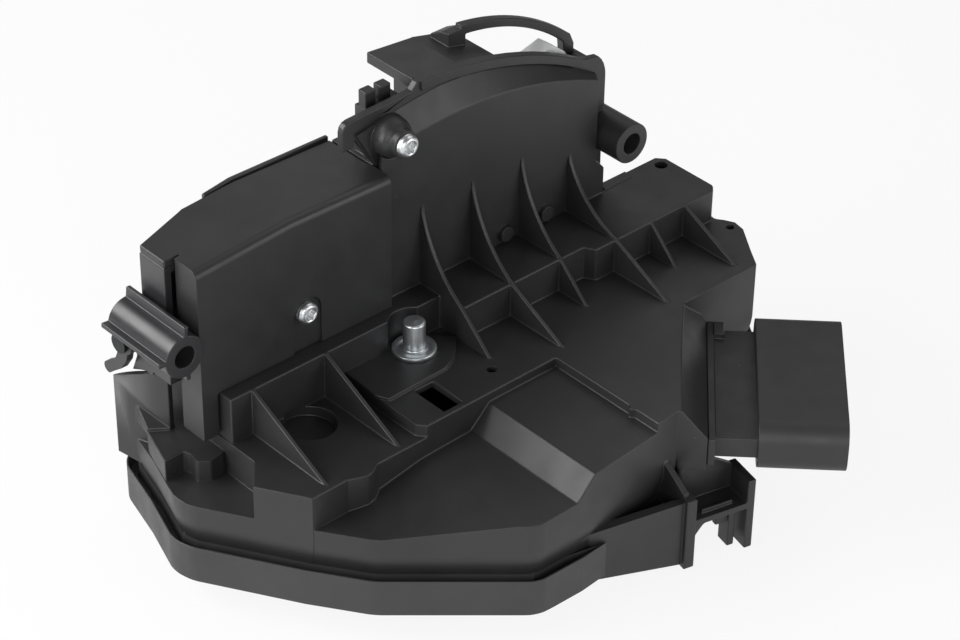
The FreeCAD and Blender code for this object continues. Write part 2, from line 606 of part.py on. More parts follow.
def box_cover():
    """Tall cover on the left, a shell open to the rear."""
    outer = side_plate([(BOX_X0, BOX_FOOT_Z), (BOX_FOOT_X, BOX_FOOT_Z), (BOX_FOOT_X, SHELF_Z),
                        (BOX_X1, SHELF_Z), (BOX_X1, BOX_TOP_Z)] + cover_top(0),
                       BOX_Y, BOX_SPLIT_Y)
    front = [e for e in outer.Edges if e.CenterOfMass.y < BOX_Y + 0.01]
    ridge = [e for e in front if e.CenterOfMass.z > BOX_LEFT_Z]
    outer = outer.makeFillet(BOX_EDGE_R, ridge)
    inner = side_plate([(BOX_X0 + SKIN, BOX_FOOT_Z + SKIN), (BOX_FOOT_X - 1.9, BOX_FOOT_Z + SKIN),
                        (BOX_FOOT_X - 1.9, SHELF_Z + SKIN), (BOX_X1 - SKIN, SHELF_Z + SKIN),
                        (BOX_X1 - SKIN, BOX_TOP_Z - SKIN)] + cover_top(SKIN),
                       BOX_Y + SKIN, BOX_SPLIT_Y + 1)
    shell = outer.cut(inner).fuse(cover_roof())
    floor_y = BOX_Y + RELIEF_DEPTH
    relief = rod_y(BOX_SCREW_X, BOX_SCREW_Z, RELIEF_R, BOX_Y - 1, floor_y)
    relief = relief.fuse(box(BOX_SCREW_X - RELIEF_R, BOX_SCREW_X + RELIEF_R, BOX_Y - 1, floor_y,
                             SHELF_Z - 1, BOX_SCREW_Z))
    shell = shell.cut(relief)
    boss = rod_y(BOX_SCREW_X, BOX_SCREW_Z, RELIEF_R - 0.8, floor_y, BOX_SPLIT_Y)
    shell = shell.fuse(boss)
    shell = shell.cut(rod_y(BOX_SCREW_X, BOX_SCREW_Z, SCREW_SHANK_R, BOX_Y - 2, BOX_SPLIT_Y + 1))
    corner = rod_y(BOSS_X, BOSS_Z, BOSS_R + GAP, BOX_Y - 2, BOX_SPLIT_Y + 1)
    return shell.cut(corner)


def cover_roof():
    """Top of the cover, carried back over the lever housing with its rear corner cut off."""
    right_x = BOX_X1 - GAP
    rear_z = BOX_LEFT_Z - 0.2
    top = side_plate([(BOX_REAR_X0, rear_z - SKIN), (BOX_REAR_X0, rear_z), (CREASE_X, CREASE_Z),
                      (right_x, BOX_TOP_Z), (right_x, BOX_TOP_Z - SKIN), (CREASE_X, CREASE_Z - SKIN)],
                     BOX_SPLIT_Y - 0.1, REAR_Y - 1.6)
    notch = box(BOX_REAR_X0 - 1, BOX_X0 + SKIN, BOX_SPLIT_Y - 0.1, BOX_SPLIT_Y + 0.6,
                BOX_TOP_Z - 12, BOX_TOP_Z + 8)
    return top.cut(notch).cut(rear_trim())


def rear_trim():
    """Block that takes off the rear left corner of the box."""
    left = BOX_REAR_X0 - 1.7
    return slab([(left, 29.0), (left + 18.0, 34.0), (left + 26.0, REAR_Y + 1), (left, REAR_Y + 1)],
                0, BOX_TOP_Z + 8)


def lever_housing():
    """Rear shell behind the box cover, with the left guide tube and its fins."""
    y0 = BOX_SPLIT_Y + 0.6
    right_x = BOX_X1 - GAP
    top_z = BOX_LEFT_Z - 0.2 - SKIN
    crease = CREASE_Z - SKIN
    foot = LEVER_FOOT_Z
    outer = side_plate([(BOX_REAR_X0, foot), (BOX_FOOT_X, foot), (BOX_FOOT_X, SHELF_Z),
                        (right_x, SHELF_Z), (right_x, BOX_TOP_Z - SKIN), (CREASE_X, crease),
                        (BOX_REAR_X0, top_z)], y0, REAR_Y)
    inner = side_plate([(BOX_REAR_X0 + SKIN, foot + SKIN), (right_x - SKIN, foot + SKIN),
                        (right_x - SKIN, BOX_TOP_Z - 2 * SKIN), (CREASE_X, BOX_TOP_Z - 2 * SKIN),
                        (BOX_REAR_X0 + SKIN, top_z - SKIN)], y0 - 1, REAR_Y - SKIN)
    window = box(BOX_X0 + 9.5, BOX_X0 + 19.5, 30.0, REAR_Y + 4, 16.0, 34.0)
    left = BOX_REAR_X0
    corner = slab([(left, 26.8), (left, 29.5), (left + 16.3, 34.0), (left + 21.7, REAR_Y),
                   (left + 24.3, REAR_Y), (left + 24.3, REAR_Y - SKIN), (left + 16.3, 31.8)],
                  SHELF_Z, top_z - 1)
    shell = outer.cut(inner).cut(rear_trim()).fuse(corner).cut(window).fuse(rear_lip())
    tube = rod_y(LEFT_TUBE_X, TUBE_Z, TUBE_R, LEFT_TUBE_Y0, LEFT_TUBE_Y1)
    fins = [tube_fin(angle, reach) for angle, reach in ((84, 2.9), (175, 2.2), (277, 1.6))]
    bridge = box(BOX_LEVER_X - 5.5, BOX_SCREW_X + 5, y0, y0 + 1.8, SHELF_Z, BOX_LEVER_Z + 5.5)
    bridge = bridge.cut(rod_y(BOX_SCREW_X, BOX_SCREW_Z, SCREW_SHANK_R, y0 - 1, y0 + 3))
    lug = cross_plate([(27.0, foot), (ROD_PIN_Y - 4.0, foot - 1.6), (ROD_PIN_Y + 1.2, foot - 4.1),
                       (ROD_PIN_Y - 1.4, ROD_PIN_Z - 5.0),
                       (ROD_PIN_Y + 3.0, ROD_PIN_Z - 2.8), (ROD_PIN_Y + 3.6, ROD_PIN_Z + 1.2),
                       (ROD_PIN_Y + 1.4, ROD_PIN_Z + 3.8), (27.0, ROD_PIN_Z + 3.8)],
                      left, left + SKIN)
    body = join([shell, tube, bridge, lug] + fins)
    body = body.cut(rod_y(LEFT_TUBE_X, TUBE_Z, BORE_R, 0, REAR_Y + 4))
    body = body.cut(rod((left - 1, ROD_PIN_Y, ROD_PIN_Z), (1, 0, 0), ROD_PIN_R, SKIN + 2))
    return body.cut(rod_y(BOX_LEVER_X, BOX_LEVER_Z, LEVER_PIN_R, y0 - 1, REAR_Y + 4))


def rear_lip():
    """Low lip that stands behind the cover's roof, along the rear edge of the lever housing."""
    left_x = BOX_REAR_X0 + 25.3
    top = [(BOX_X1 - GAP, BOX_TOP_Z - SKIN), (BOX_X1 - GAP, BOX_TOP_Z + 0.9),
           (CREASE_X, CREASE_Z + 0.6), (left_x, CREASE_Z - 0.8), (left_x, CREASE_Z - 3.2),
           (CREASE_X, CREASE_Z - SKIN)]
    return side_plate(top, REAR_Y - 1.3, REAR_Y)


def tube_fin(angle, reach):
    fin = box(TUBE_R - 1.5, TUBE_R + reach, LEFT_TUBE_Y0, LEFT_TUBE_Y1, -0.7, 0.7)
    fin.rotate(V(0, 0, 0), V(0, -1, 0), angle)
    fin.translate(V(LEFT_TUBE_X, 0, TUBE_Z))
    return fin


def rounded_block(length, width, height, radius):
    block = Part.makeBox(length, width, height, V(0, -width / 2, -height / 2))
    edges = [e for e in block.Edges if abs(e.tangentAt(0).x) > 0.9]
    return block.makeFillet(radius, edges)


def connector():
    """Plug shroud on a flat neck behind a mounting plate."""
    start = SLOPE_LEN + 0.02
    plate = Part.makeBox(PLATE_LEN, PLATE_W, PLATE_H, V(start, -PLATE_W / 2, -PLATE_H / 2))
    neck = Part.makeBox(NECK_LEN + 2, NECK_W, NECK_H, V(start + 1, -NECK_W / 2, -NECK_H / 2))
    shroud_x = start + PLATE_LEN + NECK_LEN
    shroud = rounded_block(SHROUD_LEN, SHROUD_W, SHROUD_H, SHROUD_R)
    mouth = rounded_block(SHROUD_LEN, SHROUD_W - 2 * SHROUD_T, SHROUD_H - 2 * SHROUD_T,
                          SHROUD_R - SHROUD_T)
    mouth.translate(V(4.0, 0, 0))
    shroud = shroud.cut(mouth)
    shroud.translate(V(shroud_x, SHROUD_SHIFT, 0))
    keys = [Part.makeBox(11.0, 2.0, 1.4, V(shroud_x + 12, y, -SHROUD_H / 2 - 1.0))
            for y in (-21.5, 19.5)]
    block = Part.makeBox(3.0, 6.0, 6.0, V(start + PLATE_LEN, PLATE_W / 2 - 7.0, -1.0))
    return conn_place(join([plate, neck, shroud, block] + keys))


def contact_pins():
    """Two rows of square contact pins inside the shroud."""
    tip = SLOPE_LEN + PLATE_LEN + NECK_LEN + 18.0
    root = SLOPE_LEN + 0.02 + PLATE_LEN + NECK_LEN + 4.0
    pins = []
    for row in range(PIN_ROWS):
        for col in range(PIN_COLS):
            y = (col - (PIN_COLS - 1) / 2) * PIN_PITCH
            z = (row - 0.5) * 5.0
            pins.append(Part.makeBox(tip - root, PIN_SIDE, PIN_SIDE,
                                     V(root, y - PIN_SIDE / 2, z - PIN_SIDE / 2)))
    bar = Part.makeBox(1.6, PIN_COLS * PIN_PITCH, 7.0, V(root, -PIN_COLS * PIN_PITCH / 2, -3.5))
    return conn_place(join(pins + [bar]))


def screw(x, y, z):
    """Screw along +Y, its head face at y."""
    head = rod_y(x, z, SCREW_HEAD_R, y, y + SCREW_HEAD_H)
    return head.fuse(rod_y(x, z, SCREW_SHANK_R, y + SCREW_HEAD_H - 0.1, y + SCREW_LEN))


def screws():
    on_box = screw(BOX_SCREW_X, BOX_Y + RELIEF_DEPTH - SCREW_HEAD_H, BOX_SCREW_Z)
    on_wall = screw(BOSS_X, BOSS_Y - SCREW_HEAD_H, BOSS_Z)
    return on_box, on_wall


def face_plate():
    """Steel plate on the rear with the striker mouth and three threaded holes."""
    low = SHELF_Z + 0.5
    mouth_x = CLAW_X + 19.5
    outline = [(WALL_X0, low), (FLANGE_X1, low), (FLANGE_X1, CLAW_Z + 5), (FLANGE_X1 - 5, CLAW_Z + 10),
               (mouth_x + 7.5, CLAW_Z + 10), (mouth_x + 4, CLAW_Z - 4.5), (mouth_x - 4, CLAW_Z - 4.5),
               (mouth_x - 11, CLAW_Z + 11), (CLAW_X, BOX_TOP_Z - 3.0), (WALL_X0, BOX_TOP_Z - 2.6)]
    plate = side_plate(outline, FACE_Y0, FACE_Y0 + FACE_T)
    for x, z in face_holes():
        plate = plate.fuse(rod_y(x, z, FACE_COLLAR_R, FACE_Y0 - 1.5, FACE_Y0 + 0.5))
        plate = plate.cut(rod_y(x, z, FACE_HOLE_R, FACE_Y0 - 3, FACE_Y0 + 5))
    for x, z in ((CLAW_X, CLAW_Z), (PAWL_X, PAWL_Z)):
        plate = plate.cut(rod_y(x, z, PIVOT_R - 1.0, FACE_Y0 - 1, FACE_Y0 + 5))
    return plate


def face_holes():
    return (8.0, 18.0), (8.0, BOX_TOP_Z - 9.0), (WALL_X1 - 2.0, 16.5)


def pivot(x, z, y0):
    """Steel pivot riveted flush into the face plate."""
    pin = rod_y(x, z, PIVOT_R, y0, FACE_Y0)
    tip = rod_y(x, z, PIVOT_R - 1.0, FACE_Y0 - 0.5, FACE_Y0 + FACE_T)
    return pin.fuse(tip)


def polar(x, z, pairs):
    return [(x + r * math.cos(math.radians(a)), z + r * math.sin(math.radians(a))) for r, a in pairs]


def claw_steel():
    """Fork-shaped claw; its slot holds the striker wire."""
    outline = polar(CLAW_X, CLAW_Z, [
        (CLAW_R, 52), (CLAW_R + 0.6, 42), (CLAW_R, 32), (CLAW_R - 2, 22), (27, -8),
        (25, -24), (18, -45), (13.5, -80), (12.5, -120), (12.5, -160), (12.5, 165),
        (13, 130), (15, 100), (20, 76), (26, 63)])
    plate = side_plate(outline, CLAW_Y0, CLAW_Y0 + CLAW_T)
    slot = box(STRIKER_R, 45, CLAW_Y0 - 1, CLAW_Y0 + CLAW_T + 1, -5.3, 5.3)
    slot = slot.fuse(rod_y(STRIKER_R, 0, 5.3, CLAW_Y0 - 1, CLAW_Y0 + CLAW_T + 1))
    slot.rotate(V(0, 0, 0), V(0, -1, 0), 7)
    slot.translate(V(CLAW_X, 0, CLAW_Z))
    plate = plate.cut(slot)
    return plate.cut(rod_y(CLAW_X, CLAW_Z, PIVOT_R + RUN_FIT, CLAW_Y0 - 1, CLAW_Y0 + CLAW_T + 1))


def claw_cushion():
    """Moulded cushion over the lower arm of the claw."""
    outline = polar(CLAW_X, CLAW_Z, [(26.5, -9), (25, -23), (18, -44), (14, -36), (15.5, -14)])
    over = side_plate(outline, CLAW_Y0 + CLAW_T, CLAW_Y0 + CLAW_T + 1.4)
    under = side_plate(outline, CLAW_Y0 - 1.3, CLAW_Y0)
    return Part.makeCompound([over, under])


def pawl():
    """Locking pawl beside the claw."""
    outline = [(PAWL_X - 6, PAWL_Z - 7), (PAWL_X + 5, PAWL_Z - 7.5), (PAWL_X + 12, PAWL_Z - 1),
               (PAWL_X + 16.2, PAWL_Z + 3), (PAWL_X + 15.4, PAWL_Z + 9), (PAWL_X + 9, PAWL_Z + 8),
               (PAWL_X + 2, PAWL_Z + 8.5), (PAWL_X - 3, BOX_TOP_Z - 8), (PAWL_X - 8, BOX_TOP_Z - 9),
               (PAWL_X - 8, PAWL_Z + 2)]
    plate = side_plate(outline, PAWL_Y0, PAWL_Y0 + PAWL_T)
    return plate.cut(rod_y(PAWL_X, PAWL_Z, PIVOT_R + RUN_FIT, PAWL_Y0 - 1, PAWL_Y0 + PAWL_T + 1))


def wire_section(centre, along, radius):
    """Six-sided wire section across the direction along."""
    along = V(*along).normalize()
    side = along.cross(V(0, 0, 1)).normalize()
    rise = side.cross(along)
    corners = []
    for i in range(WIRE_SIDES):
        a = 2 * math.pi * i / WIRE_SIDES
        corners.append(centre + side * (radius * math.cos(a)) + rise * (radius * math.sin(a)))
    return Part.makePolygon(corners + corners[:1])


def coil_spring(x, z, y0, radius, wire, turns):
    """Torsion spring round a pivot, with a straight leg at each end."""
    pitch = 2 * wire + SPRING_SPACE
    rise = pitch / (2 * math.pi * radius)
    leg = radius + 1.5
    sections = [wire_section(V(radius, -leg, 0), (0, 1, 0), wire)]
    steps = WIRE_STEPS * turns
    for i in range(steps + 1):
        a = 2 * math.pi * i / WIRE_STEPS
        centre = V(radius * math.cos(a), radius * math.sin(a), pitch * i / WIRE_STEPS)
        sections.append(wire_section(centre, (-math.sin(a), math.cos(a), rise), wire))
    sections.append(wire_section(V(radius, leg, pitch * turns), (0, 1, 0), wire))
    body = Part.makeLoft(sections, True, True)
    body.rotate(V(0, 0, 0), V(1, 0, 0), -90)
    body.translate(V(x, y0 + wire, z))
    return body


def release_lever(y0, side):
    """Two-armed release lever on the box pivot."""
    x, z = BOX_LEVER_X, BOX_LEVER_Z
    outline = [(x - 6, z - 6), (x + 6, z - 6), (x + 22, z - 3), (x + 24, z + 3), (x + 7, z + 6),
               (x + side * 3 + 3, z + LEVER_ARM), (x + side * 3 - 4, z + LEVER_ARM), (x - 6, z + 5)]
    plate = side_plate(outline, y0, y0 + 2.5)
    return plate.cut(rod_y(x, z, LEVER_PIN_R + RUN_FIT, y0 - 1, y0 + 4))


def lever_pin():
    return rod_y(BOX_LEVER_X, BOX_LEVER_Z, LEVER_PIN_R, BOX_SPLIT_Y + 1, REAR_Y)


def rod_lever():
    """Small hooked lever behind the left plate, hung from a pin in the rear shell's lug."""
    x0 = ROD_LEVER_X - ROD_LEVER_T
    offsets = [(-2.4, -1.8), (-1.2, -5.8), (1.4, -9.6), (6.6, -13.6), (8.4, -11.0),
               (3.8, -7.4), (2.4, -4.2), (3.0, -1.2)]
    plate = cross_plate([(ROD_PIN_Y + y, ROD_PIN_Z + z) for y, z in offsets], x0, ROD_LEVER_X)
    tip = rod((x0, ROD_PIN_Y + 7.5, ROD_PIN_Z - 12.3), (1, 0, 0), 1.7, ROD_LEVER_T)
    hub = rod((x0, ROD_PIN_Y, ROD_PIN_Z), (1, 0, 0), ROD_PIN_R + 1.9, ROD_LEVER_T)
    body = join([plate, tip, hub])
    return body.cut(rod((x0 - 1, ROD_PIN_Y, ROD_PIN_Z), (1, 0, 0), ROD_PIN_R + RUN_FIT, 20))


def rod_lever_pin():
    """Pin of the hooked lever, with a thin head outside it."""
    start = ROD_LEVER_X - ROD_LEVER_T - 1.4
    shank = rod((start, ROD_PIN_Y, ROD_PIN_Z), (1, 0, 0), ROD_PIN_R, BOX_REAR_X0 + SKIN - start)
    head = rod((start, ROD_PIN_Y, ROD_PIN_Z), (1, 0, 0), ROD_PIN_R + 0.9, 1.0)
    return shank.fuse(head)


def motor():
    can = rod((MOTOR_X0, MOTOR_Y, MOTOR_Z), (1, 0, 0), MOTOR_R, MOTOR_LEN)
    nose = rod((MOTOR_X0 - 2, MOTOR_Y, MOTOR_Z), (1, 0, 0), 4.0, 3)
    tail = rod((MOTOR_X0 + MOTOR_LEN - 1, MOTOR_Y, MOTOR_Z), (1, 0, 0), 3.0, 2.5)
    flats = [box(MOTOR_X0 - 1, MOTOR_X0 + MOTOR_LEN + 1, MOTOR_Y - 12, MOTOR_Y + 12, z, z + 5)
             for z in (MOTOR_Z + 8.2, MOTOR_Z - 13.2)]
    body = join([can, nose, tail])
    for flat in flats:
        body = body.cut(flat)
    return body.cut(rod((MOTOR_X0 - 5, MOTOR_Y, MOTOR_Z), (1, 0, 0), WORM_SHAFT_R + RUN_FIT, 20))


def worm():
    """Worm on the motor shaft; its thread is left plain."""
    body = rod((WORM_X0, MOTOR_Y, MOTOR_Z), (1, 0, 0), WORM_R, WORM_X1 - WORM_X0)
    shaft_end = MOTOR_X0 + 8.0
    start = WORM_X0 - 4.0
    return body.fuse(rod((start, MOTOR_Y, MOTOR_Z), (1, 0, 0), WORM_SHAFT_R, shaft_end - start))


def gear_y():
    return MOTOR_Y + WORM_R + GEAR_R + GAP


def worm_gear():
    """Plastic gear driven by the worm, with a recessed web."""
    z0 = MOTOR_Z - GEAR_T / 2
    root = GEAR_R - 1.6
    body = rod((GEAR_X, gear_y(), z0), (0, 0, 1), root, GEAR_T)
    tooth = box(root - 0.5, GEAR_R, -0.75, 0.75, z0, z0 + GEAR_T)
    teeth = []
    for i in range(GEAR_TEETH):
        one = tooth.copy()
        one.rotate(V(0, 0, 0), V(0, 0, 1), 360.0 / GEAR_TEETH * i)
        one.translate(V(GEAR_X, gear_y(), 0))
        teeth.append(one)
    body = body.multiFuse(teeth)
    web = rod((GEAR_X, gear_y(), z0 + GEAR_T - 2), (0, 0, 1), root - 2.5, 3)
    web = web.cut(rod((GEAR_X, gear_y(), z0), (0, 0, 1), 4.5, GEAR_T + 2))
    body = body.cut(web)
    return body.cut(rod((GEAR_X, gear_y(), z0 - 1), (0, 0, 1), GEAR_SHAFT_R + RUN_FIT, GEAR_T + 2))


def gear_post():
    top = MOTOR_Z + GEAR_T / 2 + 2.0
    post = rod((GEAR_X, gear_y(), BASE_Z + SKIN), (0, 0, 1), GEAR_SHAFT_R, top - BASE_Z - SKIN)
    seat_top = MOTOR_Z - GEAR_T / 2 - 0.3
    seat = rod((GEAR_X, gear_y(), BASE_Z + SKIN), (0, 0, 1), 5.0, seat_top - BASE_Z - SKIN)
    return post.fuse(seat)


def lock_lever():
    """Lever turned by the gear train to lock the latch."""
    hub = rod((LOCK_X, LOCK_Y, -26.0), (0, 0, 1), 5.0, 9.0)
    bar = slab([(LOCK_X - 4, LOCK_Y - 4), (LOCK_X + 3, LOCK_Y - 4), (LOCK_X + 2, LOCK_Y + 14),
                (LOCK_X - 22, LOCK_Y + 12), (LOCK_X - 24, LOCK_Y + 6), (LOCK_X - 6, LOCK_Y + 5)],
               -20.0, -17.0)
    body = hub.fuse(bar)
    return body.cut(rod((LOCK_X, LOCK_Y, -40), (0, 0, 1), 2.0 + RUN_FIT, 30))


def lock_post():
    post = rod((LOCK_X, LOCK_Y, BASE_Z + SKIN), (0, 0, 1), 2.0, 22.0)
    seat = rod((LOCK_X, LOCK_Y, BASE_Z + SKIN), (0, 0, 1), 4.5, -26.3 - BASE_Z - SKIN)
    return post.fuse(seat)


def lead_frame():
    """Moulded board that carries the conductors to the connector."""
    left, right = BOARD_X0, BOARD_X1
    front, rear = BOARD_Y0, BOARD_Y1
    board = slab([(left, front + 14.0), (left + 16.0, front), (right, front), (right, rear),
                  (left, rear)], BOARD_Z, BOARD_Z + 1.6)
    tracks = [box(left + 4, right - 2, y, y + 1.4, BOARD_Z + 1.5, BOARD_Z + 2.1)
              for y in (front + 12.4, front + 16.6, front + 20.8)]
    body = join([board] + tracks)
    for x, y in board_holes():
        body = body.cut(rod((x, y, BOARD_Z - 6), (0, 0, 1), 1.6, 10))
    return body


def board_holes():
    return (BOARD_X0 + 6.0, BOARD_Y1 - 5.0), (BOARD_X1 - 6.0, BOARD_Y0 + 5.0)


def board_posts():
    floor = BASE_Z + SKIN
    posts = []
    for x, y in board_holes():
        posts.append(rod((x, y, floor), (0, 0, 1), 3.0, BOARD_Z - floor))
        posts.append(rod((x, y, floor), (0, 0, 1), 1.5, BOARD_Z + 2.5 - floor))
    return posts


def microswitch(x, y):
    """Small boxed switch with a push button, standing on the base."""
    case = box(x, x + 12.8, y, y + 5.8, BASE_Z + SKIN, BASE_Z + SKIN + 10.0)
    button = box(x + 8.0, x + 10.4, y + 1.6, y + 4.2, BASE_Z + SKIN + 9.5, BASE_Z + SKIN + 11.4)
    return case.fuse(button)


def motor_cradle():
    """Two saddles on the base that carry the motor."""
    saddles = []
    for x in (MOTOR_X0 + 4, MOTOR_X0 + 22):
        block = box(x, x + 2.5, MOTOR_Y - 9, MOTOR_Y + 9, BASE_Z + SKIN, MOTOR_Z - 3)
        saddles.append(block.cut(rod((x - 1, MOTOR_Y, MOTOR_Z), (1, 0, 0), MOTOR_R, 6)))
    bearing_x = WORM_X0 - 3.5
    bearing = box(bearing_x, bearing_x + 2.5, MOTOR_Y - 3.5, MOTOR_Y + 3.5, BASE_Z + SKIN, MOTOR_Z + 3.5)
    hole = rod((bearing_x - 1, MOTOR_Y, MOTOR_Z), (1, 0, 0), WORM_SHAFT_R + RUN_FIT, 6)
    saddles.append(bearing.cut(hole))
    return saddles


def gasket():
    """Foam seal on the inner face of the connector shroud."""
    outer = rounded_block(1.2, SHROUD_W - 2 * SHROUD_T, SHROUD_H - 2 * SHROUD_T, SHROUD_R - SHROUD_T)
    inner = rounded_block(3.0, SHROUD_W - 2 * SHROUD_T - 4, SHROUD_H - 2 * SHROUD_T - 4, 1.0)
    inner.translate(V(-1, 0, 0))
    ring = outer.cut(inner)
    ring.translate(V(SLOPE_LEN + 0.02 + PLATE_LEN + NECK_LEN + 4.0, SHROUD_SHIFT, 0))
    return conn_place(ring)


def save(name, shape):
    shape = shape.removeSplitter() if shape.ShapeType != "Solid" else shape
    shape = shape.translate(V(0, 0, -ORIGIN_DROP))
    shape.exportStep(os.path.join("parts", name + ".step"))
    print(name, round(shape.Volume), len(shape.Solids), shape.isValid())


def main():
    os.makedirs("parts", exist_ok=True)
    save("main_housing", main_housing())
    save("base_cover", base_cover())
    save("locating_stud", locating_stud())
    save("latch_housing", latch_housing())
    save("box_cover", box_cover())
    save("lever_housing", lever_housing())
    save("connector", connector())
    save("contact_pins", contact_pins())
    save("connector_seal", gasket())
    for name, shape in zip(("box_screw", "wall_screw"), screws()):
        save(name, shape)
    save("face_plate", face_plate())
    save("claw_pivot", pivot(CLAW_X, CLAW_Z, FLANGE_Y))
    save("pawl_pivot", pivot(PAWL_X, PAWL_Z, FLANGE_Y))
    save("claw", claw_steel())
    save("claw_cushion", claw_cushion())
    save("pawl", pawl())
    save("claw_spring", coil_spring(CLAW_X, CLAW_Z, CLAW_Y0 + CLAW_T + 1.8, 6.6, 0.6, 2))
    save("pawl_spring", coil_spring(PAWL_X, PAWL_Z, PAWL_Y0 + PAWL_T + 0.6, 6.0, 0.55, 3))
    save("outside_release_lever", release_lever(21.5, -1))
    save("inside_release_lever", release_lever(26.0, 1))
    save("lever_pin", lever_pin())
    save("rod_lever", rod_lever())
    save("rod_lever_pin", rod_lever_pin())
    save("lock_motor", motor())
    save("motor_worm", worm())
    save("worm_gear", worm_gear())
    save("lock_lever", lock_lever())
    save("lead_frame", lead_frame())
    save("ajar_switch", microswitch(-20.0, 20.0))
    save("lock_switch", microswitch(-4.0, -8.0))


main()
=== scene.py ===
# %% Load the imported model
import json
import math

import bmesh
import bpy
from mathutils import Matrix, Vector
from mathutils.geometry import intersect_point_line


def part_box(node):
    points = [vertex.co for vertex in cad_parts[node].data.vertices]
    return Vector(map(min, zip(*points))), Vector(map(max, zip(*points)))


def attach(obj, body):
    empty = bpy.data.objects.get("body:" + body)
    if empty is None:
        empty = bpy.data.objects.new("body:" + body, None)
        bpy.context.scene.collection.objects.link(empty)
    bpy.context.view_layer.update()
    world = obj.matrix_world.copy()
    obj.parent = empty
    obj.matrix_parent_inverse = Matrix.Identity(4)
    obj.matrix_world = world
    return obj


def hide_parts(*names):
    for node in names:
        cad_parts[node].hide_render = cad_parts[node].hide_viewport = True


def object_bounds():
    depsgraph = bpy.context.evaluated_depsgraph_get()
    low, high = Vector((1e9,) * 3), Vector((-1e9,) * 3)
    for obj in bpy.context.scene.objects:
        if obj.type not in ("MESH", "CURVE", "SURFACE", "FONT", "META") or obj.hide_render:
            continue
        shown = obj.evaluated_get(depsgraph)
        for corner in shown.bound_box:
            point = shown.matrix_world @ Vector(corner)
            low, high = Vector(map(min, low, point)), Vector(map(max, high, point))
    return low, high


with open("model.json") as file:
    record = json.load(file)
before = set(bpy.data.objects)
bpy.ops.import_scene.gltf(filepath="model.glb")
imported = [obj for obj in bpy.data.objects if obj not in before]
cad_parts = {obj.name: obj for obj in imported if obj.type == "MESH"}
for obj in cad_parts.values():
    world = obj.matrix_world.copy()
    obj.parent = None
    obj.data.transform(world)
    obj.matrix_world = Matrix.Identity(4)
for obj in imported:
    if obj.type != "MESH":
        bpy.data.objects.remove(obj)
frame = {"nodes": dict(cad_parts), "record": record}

MM = 0.001
CAD_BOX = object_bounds()
NODES = frame["nodes"]

# %% [markdown]
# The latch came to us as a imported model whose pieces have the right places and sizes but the
# flat, sharp look of a drawing. This lesson dresses them. Everything is in metres and in the
# model's own frame, so a piece is made where it belongs and its object stays at the origin.
# Heights in this script are counted from the pad under the locating stud. The model's origin
# is the top of the stud's collar, a little higher, so one function turns a point in
# millimetres into a point of the frame.

# %% Heights and points
STUD_LOW, STUD_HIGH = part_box("locating_stud")
COLLAR_H = 1.4


def at(x, y, z):
    """Point in millimetres from the pad's centre, as a point of the frame in metres."""
    return Vector((x * MM, y * MM, (z - COLLAR_H) * MM))


print("stud from", round(STUD_LOW.z / MM, 1), "to", round(STUD_HIGH.z / MM, 1), "mm")

# %% [markdown]
# The camera comes first. The photograph was taken with a long lens from the left and from
# above, so lines that run away from us hardly come together. The view is described by the
# direction that we look from, a small roll, the focal length in picture widths and the
# place of the pad's centre in the picture.

# %% Camera
IMAGE_W, IMAGE_H = 960, 640
SENSOR_MM = 36.0
FOCAL_PX = 3000.0
PX_PER_MM = 3.65
PAD_PX = (414.3, 350.3)
VIEW_AZIMUTH = math.radians(-42.5)
VIEW_ELEVATION = math.radians(35.4)
VIEW_ROLL = math.radians(0.8)


def make_camera():
    """A camera that sees the pad's centre at its place in the picture."""
    cos_a, sin_a = math.cos(VIEW_AZIMUTH), math.sin(VIEW_AZIMUTH)
    cos_e, sin_e = math.cos(VIEW_ELEVATION), math.sin(VIEW_ELEVATION)
    level = Vector((cos_a, sin_a, 0))
    back = Vector((sin_a * cos_e, -cos_a * cos_e, sin_e))
    upright = back.cross(level)
    right = level * math.cos(VIEW_ROLL) + upright * math.sin(VIEW_ROLL)
    up = upright * math.cos(VIEW_ROLL) - level * math.sin(VIEW_ROLL)
    distance = FOCAL_PX / PX_PER_MM
    place = back * distance
    place -= right * ((PAD_PX[0] - IMAGE_W / 2) / PX_PER_MM)
    place += up * ((PAD_PX[1] - IMAGE_H / 2) / PX_PER_MM)
    data = bpy.data.cameras.new("camera")
    data.sensor_width = SENSOR_MM
    data.lens = FOCAL_PX / IMAGE_W * SENSOR_MM
    data.clip_start = 0.01
    camera = bpy.data.objects.new("camera", data)
    turn = Matrix((right, up, back)).transposed().to_4x4()
    camera.matrix_world = Matrix.Translation(at(*place)) @ turn
    bpy.context.scene.collection.objects.link(camera)
    bpy.context.scene.camera = camera
    return camera


camera = make_camera()
print("camera lens", round(camera.data.lens, 1), "mm")

# %% [markdown]
# A studio sets a small black part on white paper between large soft lamps. A black moulding
# shows mostly what it mirrors, so the lamps' size and place draw the shape. The strongest one
# stands behind the part on the left and skims over every upper face, a broad one behind the
# camera and one at its right open the front faces, and weak ones fill the rest. Little light
# comes from all round, so the deep corners stay black. The paper looks white to the camera
# and light grey to mirrors, and the world is white to the camera alone.

